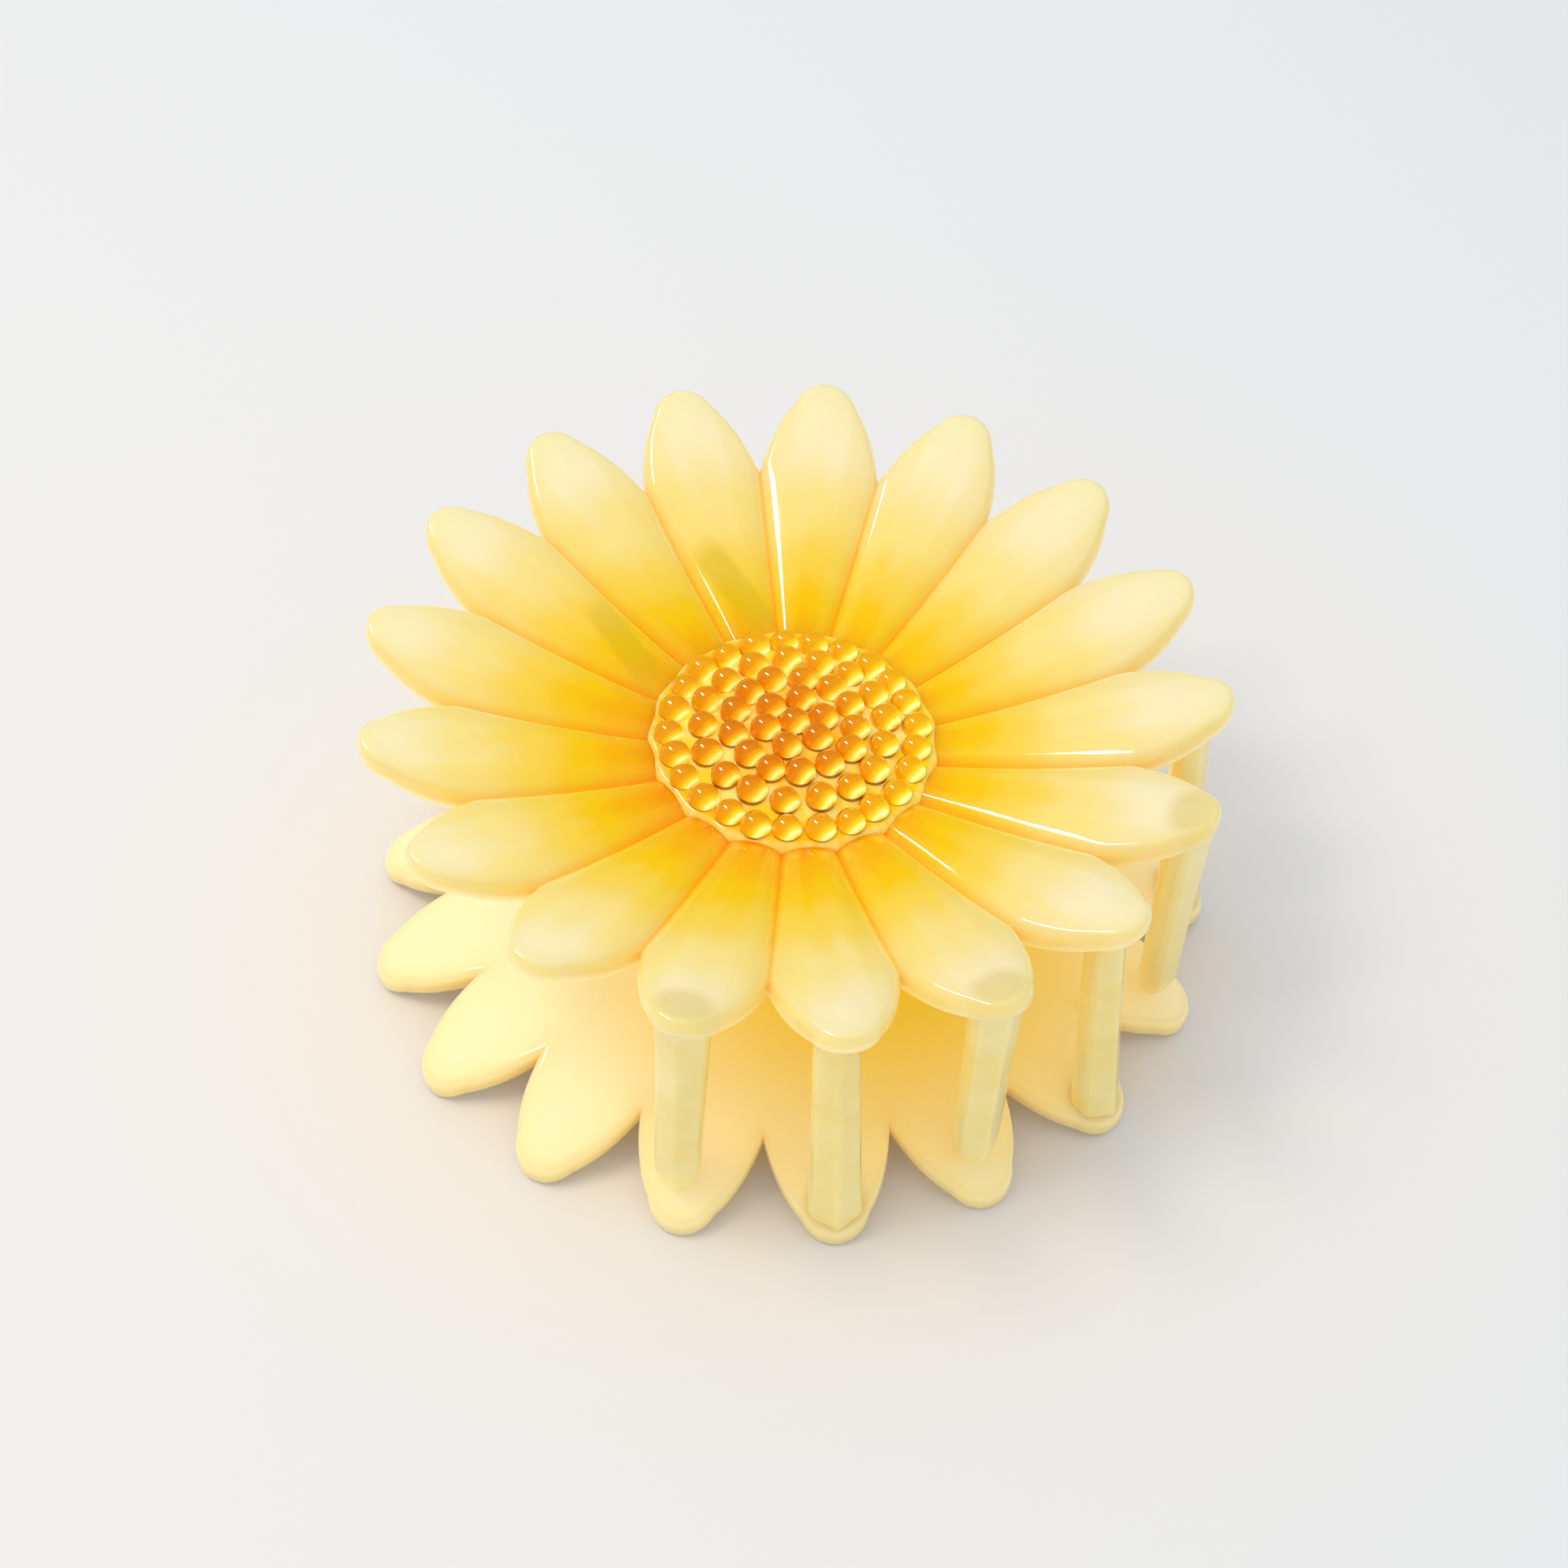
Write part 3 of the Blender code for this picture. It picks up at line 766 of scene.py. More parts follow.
@dataclass(frozen=True)
class PalePlasticFinish:
    """Milky yellow plastic of the teeth and ears, with painted shade on the faces turned to one side and a
    faint painted glow.
    """

    name: str
    side: Side
    light: Color = hex_color("FAE69C")
    deep: Color = hex_color("EED25E")
    shade: Color = hex_color("DCBC3C")
    shade_band: tuple[float, float] = (0.10, 0.60)
    shade_tone: float = 0.55

    def make(self, effects: SharedEffects) -> bpy.types.Material:
        """Build the material.

        Args:
            effects: The shared shader groups.

        Returns:
            The material.
        """
        material, sheet, shader = new_material(self.name)
        place = sheet.place()
        clouds = effects.clouds.place(sheet, Place=place, Scale=160.0, Stretch=12.0)
        skin = effects.skin.place(sheet, Place=place, Wave=160.0, Scuff=1300.0)
        color = sheet.mix(sheet.math("MULTIPLY", clouds["Clouds"], 0.55), self.light, self.deep)
        # Painted shade: faces turned away from the key light are painted deeper.
        facing = sheet.add("ShaderNodeSeparateXYZ")
        sheet.feed(facing.inputs[0], sheet.add("ShaderNodeTexCoord").outputs["Normal"])
        sign = 1.0 if self.side is Side.FRONT else -1.0
        shaded_faces = sheet.ramp(sheet.math("MULTIPLY", facing.outputs["X"], sign),
                                 *self.shade_band)
        color = sheet.mix(sheet.math("MULTIPLY", shaded_faces, self.shade_tone), color, self.shade)
        sheet.feed(shader.inputs["Base Color"], color)
        add_scuffs(sheet, shader, skin["Scuffs"], 0.28, 0.10)
        # Painted glow: the plastic emits a little of its own colour.
        sheet.feed(shader.inputs["Emission Color"], color)
        set_plain(shader, Subsurface_Weight=1.0, Subsurface_Scale=0.9 * MM, IOR=1.49,
                  Subsurface_Radius=(1.0, 0.95, 0.75), Coat_Weight=0.8, Coat_Roughness=0.06,
                  Emission_Strength=0.09)
        add_bump(sheet, shader, skin["Height"], 0.08, 0.2 * MM)
        return material


@dataclass(frozen=True)
class HeartFinish:
    """The bed of the dome, with a painted glow, which shows pale between the beads."""

    name: str = "dome_bed"
    middle: Color = hex_color("FFB400")
    outer: Color = hex_color("FFCC14")
    haze: Color = (1.0, 0.84, 0.34)
    fade: tuple[float, float] = (3.0 * MM, 12.0 * MM)

    def make(self, effects: SharedEffects) -> bpy.types.Material:
        """Build the material.

        Args:
            effects: The shared shader groups.

        Returns:
            The material.
        """
        material, sheet, shader = new_material(self.name)
        place = sheet.place()
        out = sheet.ramp(sheet.distance(place), *self.fade)
        clouds = effects.clouds.place(sheet, Place=place, Scale=400.0, Stretch=7.0)
        color = sheet.mix(out, self.middle, self.outer)
        color = sheet.mix(sheet.math("MULTIPLY", clouds["Clouds"], 0.55), color, self.haze)
        sheet.feed(shader.inputs["Base Color"], color)
        skin = effects.skin.place(sheet, Place=place, Wave=500.0, Scuff=2000.0)
        add_scuffs(sheet, shader, skin["Scuffs"], 0.16, 0.1)
        # Painted glow: the bed emits its own colour.
        set_plain(shader, Subsurface_Weight=1.0, Subsurface_Scale=0.5 * MM, IOR=1.49,
                  Subsurface_Radius=(1.0, 0.95, 0.8), Coat_Weight=1.0, Coat_Roughness=0.03,
                  Emission_Strength=0.45)
        sheet.feed(shader.inputs["Emission Color"], color)
        add_bump(sheet, shader, skin["Height"], 0.15, 0.2 * MM)
        return material


@dataclass(frozen=True)
class AmberBeadFinish:
    """Glassy amber beads with painted light and shade: deep on one side, with a painted bright crescent and
    a painted dark foot on the other, and a painted glow.
    """

    name: str
    deep: tuple[str, ...] = ("A85400", "D67A00", "DC7600", "E68600", "F2A006", "FFBE2C",
                             "FFE884", "FFC840", "C27400")
    pale: tuple[str, ...] = ("C48600", "EAAA00", "EEA800", "F4B406", "F8C418", "FFD23A",
                             "FFF2B0", "FFDC58", "D09A10")
    foot: Color = hex_color("A86200")
    steps: tuple[float, ...] = (0.06, 0.16, 0.34, 0.54, 0.68, 0.78, 0.86, 0.93, 0.99)
    painted_light_toward: tuple[float, float, float] = (0.10, -0.96, -0.25)
    foot_shade_band: tuple[float, float] = (-0.06, 0.12)
    painted_glow_band: tuple[float, float] = (0.55, 0.84)
    low: float = 3.5 * MM
    high: float = 14.5 * MM
    middle: tuple[float, float, float] = (-2.8 * MM, 0.2 * MM, 0.0)

    def make(self, effects: SharedEffects) -> bpy.types.Material:
        """Build the material.

        Args:
            effects: The shared shader groups.

        Returns:
            The material.
        """
        material, sheet, shader = new_material(self.name)
        # Painted light and shade: each bead runs from deep on one side to a painted bright crescent, edged
        # dark, on the other.
        spot = sheet.add("ShaderNodeTexCoord")
        facing = sheet.add("ShaderNodeVectorMath", operation="DOT_PRODUCT")
        sheet.feed(facing.inputs[0], spot.outputs["Normal"])
        facing.inputs[1].default_value = self.painted_light_toward
        side = sheet.math("MULTIPLY_ADD", facing.outputs["Value"], 0.5, 0.5)
        clouds = effects.clouds.place(sheet, Place=spot.outputs["Object"], Scale=420.0, Stretch=9.0)
        side = sheet.math("ADD", side, sheet.math("MULTIPLY_ADD", clouds["Clouds"], 0.08, -0.04))
        away = sheet.distance(spot.outputs["Object"], self.middle)
        out = sheet.ramp(away, self.low, self.high)
        colors = [sheet.color_steps(side, [(p, hex_color(c)) for p, c in zip(self.steps, row)])
                  for row in (self.deep, self.pale)]
        color = sheet.mix(out, colors[0], colors[1])
        # Painted shade: a dark foot where the bead turns down into the bed.
        level = sheet.add("ShaderNodeSeparateXYZ")
        sheet.feed(level.inputs[0], spot.outputs["Normal"])
        above = sheet.ramp(level.outputs["Z"], *self.foot_shade_band)
        color = sheet.mix(above, self.foot, color)
        sheet.feed(shader.inputs["Base Color"], color)
        # Painted glow, strongest in the crescent.
        glow = sheet.math("MULTIPLY_ADD", sheet.ramp(side, *self.painted_glow_band), 0.55, 0.20)
        glow = sheet.math("MULTIPLY", glow, above)
        sheet.feed(shader.inputs["Emission Color"], sheet.mix(glow, (0.0, 0.0, 0.0), color))
        skin = effects.skin.place(sheet, Place=spot.outputs["Object"], Wave=700.0, Scuff=2500.0)
        add_scuffs(sheet, shader, skin["Scuffs"], 0.10, 0.03)
        set_plain(shader, Subsurface_Weight=0.0, IOR=1.49, Specular_IOR_Level=0.1,
                  Coat_Weight=1.0, Coat_Roughness=0.03, Coat_IOR=1.7, Emission_Strength=1.0)
        return material


@dataclass(frozen=True)
class ClearSkirtFinish:
    """The clear lip of the dome, tinted by the petals under it, with a painted highlight making its edge
    pale and a painted glow.
    """

    name: str
    warm: Color = hex_color("FFBE0A")
    cool: Color = hex_color("F6CB08")
    edge: Color = hex_color("FFE9A0")
    inner: float = 12.3 * MM
    outer: float = 13.25 * MM
    turn_over: float = 8.0 * MM

    def make(self, effects: SharedEffects) -> bpy.types.Material:
        """Build the material.

        Args:
            effects: The shared shader groups.

        Returns:
            The material.
        """
        material, sheet, shader = new_material(self.name)
        place = sheet.place()
        split = sheet.add("ShaderNodeSeparateXYZ")
        sheet.feed(split.inputs[0], place)
        clouds = effects.clouds.place(sheet, Place=place, Scale=250.0, Stretch=20.0)
        aside = sheet.ramp(split.outputs["X"], -self.turn_over, self.turn_over)
        color = sheet.mix(aside, self.warm, self.cool)
        # Painted highlight: the lip's outer edge is paler, in streaks.
        lip = sheet.ramp(sheet.flat_distance(place), self.inner, self.outer)
        lip = sheet.math("MULTIPLY", lip, sheet.math("MULTIPLY_ADD", clouds["Streaks"], 0.5, 0.3))
        sheet.feed(shader.inputs["Base Color"], sheet.mix(lip, color, self.edge))
        skin = effects.skin.place(sheet, Place=place, Wave=500.0, Scuff=2000.0)
        add_scuffs(sheet, shader, skin["Scuffs"], 0.12, 0.05)
        # Painted glow: the skirt emits its tint.
        set_plain(shader, Subsurface_Weight=1.0, Subsurface_Scale=0.6 * MM, IOR=1.49,
                  Subsurface_Radius=(1.0, 0.95, 0.8), Coat_Weight=1.0, Coat_Roughness=0.03,
                  Emission_Strength=0.28)
        sheet.feed(shader.inputs["Emission Color"], color)
        add_bump(sheet, shader, skin["Height"], 0.1, 0.2 * MM)
        return material


@dataclass(frozen=True)
class SteelFinish:
    """Bright drawn steel wire with fine lengthwise lines."""

    name: str
    bright: Color = (0.74, 0.73, 0.71)
    dull: Color = (0.52, 0.50, 0.47)

    def make(self, effects: SharedEffects) -> bpy.types.Material:
        """Build the material.

        Args:
            effects: The shared shader groups.

        Returns:
            The material.
        """
        material, sheet, shader = new_material(self.name)
        place = sheet.place()
        skin = effects.skin.place(sheet, Place=place, Wave=900.0, Scuff=4000.0)
        clouds = effects.clouds.place(sheet, Place=place, Scale=700.0, Stretch=40.0)
        color = sheet.mix(sheet.math("MULTIPLY", clouds["Streaks"], 0.6), self.bright, self.dull)
        sheet.feed(shader.inputs["Base Color"], color)
        add_scuffs(sheet, shader, skin["Scuffs"], 0.20, 0.18)
        set_plain(shader, Metallic=1.0)
        add_bump(sheet, shader, skin["Height"], 0.2, 0.03 * MM)
        return material


# ---------------------------------------------------------------- the pieces of a half


@dataclass
class Flower:
    """One dished flower with its puffed petals."""

    form: FlowerForm
    frame: HalfFrame
    marks: list[dict[str, object]] = field(default_factory=list)
    start_radius: float = 11.0 * MM
    outer_steps: tuple[float, ...] = (
        0.0, 0.06, 0.13, 0.2, 0.27, 0.34, 0.41, 0.48, 0.55, 0.62, 0.68, 0.74, 0.79, 0.83, 0.865,
        0.89, 0.91, 0.927, 0.942, 0.955, 0.966, 0.975, 0.983, 0.99, 0.9955, 1.0)
    hub_radii: tuple[float, ...] = (2.0 * MM, 5.0 * MM, 8.0 * MM)
    rim_fade: float = 1.0 * MM
    valley_fade: float = 0.45 * MM

    def rays(self) -> tuple[np.ndarray, np.ndarray, np.ndarray, np.ndarray]:
        """The lines that the mesh follows from the middle to the outline.

        Returns:
            World angle, angle from the petal's middle and outline radius of each ray, and the
            half outline itself.
        """
        half = self.form.half_outline()
        turn = np.arctan2(half[:, 1], half[:, 0])
        reach = np.hypot(half[:, 0], half[:, 1])
        turn = np.concatenate([-turn[::-1], turn[1:-1]])
        reach = np.concatenate([reach[::-1], reach[1:-1]])
        middles = [self.form.petal_angle(k) for k in range(self.form.petals, 0, -1)]
        angles = np.concatenate([m + turn for m in middles])
        count = self.form.petals
        return angles, np.tile(turn, count), np.tile(reach, count), half

    def face_heights(self, radius: np.ndarray, turn: np.ndarray, half: np.ndarray,
                     outside: bool) -> tuple[np.ndarray, np.ndarray, np.ndarray]:
        """Heights of one face of the flower.

        Args:
            radius: Each point's radius.
            turn: Each point's angle from its petal's middle.
            half: The half outline.
            outside: Whether the puffed outer face is asked for.

        Returns:
            The heights, the distances to the outline, and those to the nearer of outline and
            valley.
        """
        form = self.form
        to_outline, to_edge = form.edge_distance(radius, turn, half)
        rounding = form.outer_rounding if outside else form.inner_rounding
        shy = np.clip(rounding - to_outline, 0.0, rounding)
        drop = rounding - np.sqrt(rounding ** 2 - shy ** 2)
        if not outside:
            return form.inner_height(radius) + drop, to_outline, to_edge
        puff = form.puff(radius, to_edge)
        out = np.clip((radius / form.tip_radius - 0.8) / 0.2, 0.0, 1.0)
        lift = form.tip_lift * out ** 2
        base = form.cup(np.maximum(radius, form.seat_radius * 0.8))
        return base + puff + lift - drop, to_outline, to_edge

    def add_face(self, bm: bmesh.types.BMesh, outside: bool) -> list:
        """Add one face of the flower.

        Args:
            bm: The mesh.
            outside: Whether the puffed outer face is made.

        Returns:
            The face's last ring of vertices.
        """
        angles, turn, reach, half = self.rays()
        layers = bm.verts.layers.float
        marks = {label: layers.get(label) or layers.new(label)
                 for label in ("rim", "valley", "across", "outer")}
        rings = []
        shapes = [np.full_like(reach, r) for r in self.hub_radii]
        shapes += [self.start_radius + (reach - self.start_radius) * s for s in self.outer_steps]
        for radius in shapes:
            height, to_outline, to_edge = self.face_heights(radius, turn, half, outside)
            ring = []
            for a, r, z, t, o, d in zip(angles, radius, height, turn, to_outline, to_edge):
                vert = bm.verts.new((r * math.cos(a), r * math.sin(a), z))
                vert[marks["rim"]] = math.exp(-o / self.rim_fade)
                vert[marks["valley"]] = math.exp(-d / self.valley_fade)
                vert[marks["across"]] = abs(t) / self.form.half_petal
                vert[marks["outer"]] = 1.0 if outside else 0.0
                ring.append(vert)
            rings.append(ring)
        for first, second in zip(rings, rings[1:]):
            bridge(bm, first, second)
        middle = self.face_heights(np.zeros(1), np.zeros(1), half, outside)[0][0]
        fan(bm, bm.verts.new((0.0, 0.0, middle)), rings[0])
        return rings[-1]

    def build(self, effects: SharedEffects) -> bpy.types.Object:
        """Build and dress the flower.

        Args:
            effects: The shared shader groups.

        Returns:
            The flower.
        """
        name = self.frame.side.value
        bm = bmesh.new()
        bridge(bm, self.add_face(bm, True), self.add_face(bm, False))
        piece = make_object(name + "_petals", bm, self.frame.matrix, 48.0)
        material = PetalFinish(name + "_petal_plastic").make(effects, self.marks)
        return dress(piece, material, self.frame.side.body, name + "_flower")


@dataclass
class Dome:
    """The amber dome: a bed with a painted glow, a clear skirt and rings of glassy beads."""

    form: FlowerForm
    frame: HalfFrame
    radius: float = 12.2 * MM
    skirt_radius: float = 13.3 * MM
    rise: float = 2.1 * MM
    bed_level: float = -3.9 * MM
    bead_radius: float = 1.44 * MM
    bead_lift: float = 0.2 * MM
    ring_counts: tuple[int, ...] = (1, 6, 13, 17, 25)
    ring_phases: tuple[float, ...] = (0.0, -20.2, -11.1, -6.3, -1.1)
    ring_pitch: float = 2.84 * MM
    wobble: float = 0.13 * MM

    def bed_height(self, radius: float) -> float:
        """Height of the bed's crown at a radius."""
        return self.bed_level + self.rise * (1.0 - (radius / self.radius) ** 2)

    def bed(self) -> bmesh.types.BMesh:
        """The crowned bed under the beads."""
        foot = float(self.form.cup(np.float64(self.form.seat_radius))) - 0.6 * MM
        profile = [(0.0, foot), (self.radius - 0.4 * MM, foot), (self.radius - 0.1 * MM, foot)]
        steps = 20
        profile.append((self.radius, foot + 0.4 * MM))
        for k in range(steps + 1):
            radius = self.radius * (1.0 - k / steps)
            profile.append((radius, self.bed_height(radius)))
        profile[-1] = (0.0, self.bed_height(0.0))
        return turned(profile, 96)

    def skirt(self) -> bmesh.types.BMesh:
        """The clear lip round the bed, a closed ring with a rounded outer edge."""
        bm = bmesh.new()
        foot = float(self.form.cup(np.float64(self.skirt_radius))) - 0.3 * MM
        crown = self.bed_height(self.radius) + 0.42 * MM
        inner = self.radius - 0.5 * MM
        outer = self.skirt_radius
        section = [(inner, foot), (inner, crown + 0.10 * MM), (inner + 0.5 * MM, crown)]
        for k in range(7):
            turn = math.radians(75.0 - k * 16.0)
            reach = 0.75 * MM
            section.append((outer - reach + reach * math.cos(turn),
                            crown - reach + reach * math.sin(turn)))
        section.append((outer - 0.15 * MM, foot))
        steps = 136
        rings = []
        for k in range(steps):
            angle = 2 * math.pi * k / steps
            swell = 1.0 + 0.010 * math.cos(angle * self.form.petals + math.pi / 2)
            c, n = swell * math.cos(angle), swell * math.sin(angle)
            rings.append([bm.verts.new((r * c, r * n, z)) for r, z in section])
        for k in range(steps):
            bridge(bm, rings[k], rings[(k + 1) % steps])
        return bm

    def add_bead(self, bm: bmesh.types.BMesh, spot: Vector, size: float, steps: int = 24,
                 rows: int = 12, sweep: float = 110.0) -> None:
        """Add one bead, a closed ball cut flat where it is sunk into the bed.

        Args:
            bm: The mesh.
            spot: The bead's middle.
            size: Its radius.
            steps: Steps round it.
            rows: Rings from its top to its cut.
            sweep: Degrees from its top to its cut.
        """
        rings = []
        for row in range(1, rows + 1):
            lean = math.radians(sweep * row / rows)
            turns = [2 * math.pi * k / steps for k in range(steps)]
            rings.append([bm.verts.new(spot + size * Vector((
                math.sin(lean) * math.cos(a), math.sin(lean) * math.sin(a), math.cos(lean))))
                for a in turns])
        for first, second in zip(rings, rings[1:]):
            bridge(bm, first, second)
        fan(bm, bm.verts.new(spot + Vector((0.0, 0.0, size))), rings[0])
        cut = size * math.cos(math.radians(sweep))
        fan(bm, bm.verts.new(spot + Vector((0.0, 0.0, cut))), rings[-1])

    def beads(self) -> bmesh.types.BMesh:
        """All the beads, in rings round the middle one."""
        bm = bmesh.new()
        number = 0
        for ring, (count, phase) in enumerate(zip(self.ring_counts, self.ring_phases)):
            for k in range(count):
                number += 1
                stray = self.wobble if ring else 0.0
                radius = ring * self.ring_pitch + stray * math.sin(number * 2.4)
                angle = math.radians(phase) + 2 * math.pi * k / count
                angle += stray * math.cos(number * 1.7) / max(radius, self.ring_pitch)
                size = self.bead_radius * (1.0 + 0.03 * math.sin(number * 3.1))
                level = self.bed_height(radius) + self.bead_lift
                spot = Vector((radius * math.cos(angle), radius * math.sin(angle), level))
                self.add_bead(bm, spot, size)
        return bm

    def build(self, effects: SharedEffects) -> list[bpy.types.Object]:
        """Build and dress the dome.

        Args:
            effects: The shared shader groups.

        Returns:
            The bed, the skirt and the beads.
        """
        name = self.frame.side.value
        parts = [("_dome_bed", self.bed(), HeartFinish(name + "_dome_bed").make(effects)),
                 ("_dome_skirt", self.skirt(), ClearSkirtFinish(name + "_skirt").make(effects)),
                 ("_dome_beads", self.beads(), AmberBeadFinish(name + "_beads").make(effects))]
        made = []
        for label, bm, material in parts:
            piece = make_object(name + label, bm, self.frame.matrix, 60.0)
            body = self.frame.side.body
            made.append(dress(piece, material, body, name + "_dome"))
        return made


@dataclass
class Tooth:
    """One tapering tooth with an outer ridge and a rounded free end."""

    form: FlowerForm
    frame: HalfFrame
    hand: Hand
    petal: int
    root_radius: float = 37.8 * MM
    end_radius: float = 37.3 * MM
    width: float = 5.2 * MM
    depth: float = 4.4 * MM
    end_scale: float = 0.80
    clearance: float = 0.6 * MM
    corner: float = 1.5 * MM
    sink: float = 0.5 * MM
    rows: int = 14

    def section(self, steps: int = 10) -> np.ndarray:
        """The tooth's section: a soft roof outside and a rounded back.

        Args:
            steps: Points along each stretch of it.

        Returns:
            Points as rows of outward and sideways shares of the half sizes.
        """
        corners = [(1.0, 0.0), (0.42, 0.88), (0.05, 1.0), (-0.55, 0.98), (-0.98, 0.55)]
        corners += [(d, -w) for d, w in reversed(corners[1:])]
        corners = np.array(corners)
        points = []
        count = len(corners)
        for k in range(count):
            before, here, after = corners[k - 1], corners[k], corners[(k + 1) % count]
            sharp = 0.16 if k == 0 else 0.30
            first, last = here + (before - here) * sharp, here + (after - here) * sharp
            for t in np.linspace(0.0, 1.0, steps, endpoint=False):
                points.append((1 - t) ** 2 * first + 2 * t * (1 - t) * here + t * t * last)
        return np.array(points)

    def to_other_half(self, point: Vector) -> Vector:
        """A point of this flower frame seen in the facing flower's frame."""
        form = self.form
        c, s = math.cos(form.half_spread), math.sin(form.half_spread)
        y = point.y * c - point.z * s
        z = -(point.y * s + point.z * c + form.plane_gap)
        return Vector((point.x, y * c + z * s, -y * s + z * c))

    def end_height(self, x: float, y: float) -> float:
        """The z where the free end stands just clear of the facing petal."""
        z = -self.form.plane_gap
        for _ in range(6):
            seen = self.to_other_half(Vector((x, y, z)))
            face = float(self.form.inner_height(np.float64(math.hypot(seen.x, seen.y))))
            z += seen.z - (face - self.clearance)
        return z

    def mesh(self) -> bmesh.types.BMesh:
        """Sweep the section from the root to the rounded free end."""
        angle = self.frame.petal_angle(self.form, self.petal)
        out = np.array([math.cos(angle), math.sin(angle)])
        side = np.array([-out[1], out[0]])
        section = self.section()
        half = np.array([self.depth / 2, self.width / 2])
        root_z = float(self.form.inner_height(np.float64(self.root_radius)))
        end_z = self.end_height(*(out * self.end_radius))
        length = root_z - end_z
        bm = bmesh.new()
        rings = []
        shares = list(np.linspace(0.0, 1.0 - self.corner / length, self.rows))
        shares += [1.0 - self.corner / length * (1.0 - math.sin(t * math.pi / 16))
                   for t in range(1, 8)]
        for share in shares:
            past = max(0.0, 1.0 - (1.0 - share) * length / self.corner)
            shrink = 0.52 + 0.48 * math.sqrt(max(0.0, 1.0 - past ** 2))
            scale = (1.0 - (1.0 - self.end_scale) * share) * shrink
            centre = self.root_radius + (self.end_radius - self.root_radius) * share
            ring = []
            for d, w in section * half * scale:
                x, y = out * (centre + d) + side * w
                top = self.form.inner_height(np.float64(math.hypot(x, y))) + self.sink
                z = top * (1.0 - share) + (root_z - length * share) * share if share else top
                ring.append(bm.verts.new((x, y, float(z))))
            rings.append(ring)
        for first, second in zip(rings, rings[1:]):
            bridge(bm, first, second)
        for ring in (rings[0], rings[-1]):
            middle = sum((v.co for v in ring), Vector()) / len(ring)
            fan(bm, bm.verts.new(middle), ring)
        return bm

    def build(self, material: bpy.types.Material) -> bpy.types.Object:
        """Build and dress the tooth.

        Args:
            material: Its material.

        Returns:
            The tooth.
        """
        side = self.frame.side
        name = f"{side.value}_tooth_{self.hand.value}"
        piece = make_object(name + "_shell", self.mesh(), self.frame.matrix, 70.0)
        return dress(piece, material, side.body, name)


@dataclass
class Ear:
    """One hinge ear: a flat lug with a round boss and the pin's hole."""

    form: FlowerForm
    frame: HalfFrame
    hand: Hand
    middle_x: float
    thickness: float = 2.8 * MM
    boss: float = 3.1 * MM
    foot: float = 5.0 * MM
    hole: float = 0.88 * MM
    edge: float = 0.35 * MM
    sink: float = 0.5 * MM

    def outline(self, x: float, steps: int = 72) -> list[tuple[float, float]]:
        """The ear's side view as rays from the pin.

        Args:
            x: Where along the pin the outline is taken.
            steps: Rays in a full turn.

        Returns:
            Angle and reach of each ray, from the pin.
        """
        pin = self.form.pin
        face = float(self.form.inner_height(np.float64(math.hypot(x, pin.y)))) + self.sink - pin.z
        lean = math.atan2(face, self.foot)
        rays = []
        for k in range(steps):
            angle = 2 * math.pi * k / steps
            reach = self.boss
            up, along = math.sin(angle), abs(math.cos(angle))
            if up > 0.0:
                top = face / up
                normal = math.asin(self.boss / math.hypot(face, self.foot)) + lean
                flank_turn = math.atan2(up, along)
                gap = math.cos(normal - math.pi / 2 - flank_turn)
                flank = self.boss / gap if gap > 0.05 else top
                reach = min(top, max(self.boss, flank) if flank_turn > normal - math.pi / 2 else
                            self.boss)
            rays.append((angle, reach))
        return rays

    def mesh(self) -> bmesh.types.BMesh:
        """Loft the ear through its thickness with softened edges and a bored hole."""
        pin = self.form.pin
        bm = bmesh.new()
        half = self.thickness / 2
        stations = [(-half, self.edge), (-half + 0.1 * MM, 0.17 * MM), (-half + self.edge, 0.0),
                    (half - self.edge, 0.0), (half - 0.1 * MM, 0.17 * MM), (half, self.edge)]
        outers = []
        bores = []
        rays = self.outline(self.middle_x)
        for offset, inset in stations:
            x = self.middle_x + offset
            outers.append([bm.verts.new((x, pin.y + (r - inset) * math.cos(a),
                                         pin.z + (r - inset) * math.sin(a))) for a, r in rays])
            bores.append([bm.verts.new((x, pin.y + (self.hole + inset * 0.5) * math.cos(a),
                                        pin.z + (self.hole + inset * 0.5) * math.sin(a)))
                          for a, r in rays])
        for rings in (outers, bores):
            for first, second in zip(rings, rings[1:]):
                bridge(bm, first, second)
        bridge(bm, outers[0], bores[0])
        bridge(bm, outers[-1], bores[-1])
        return bm

    def build(self, material: bpy.types.Material) -> bpy.types.Object:
        """Build and dress the ear.

        Args:
            material: Its material.

        Returns:
            The ear.
        """
        side = self.frame.side
        name = f"{side.value}_ear_{self.hand.value}"
        piece = make_object(name + "_lug", self.mesh(), self.frame.matrix, 50.0)
        return dress(piece, material, side.body, name)


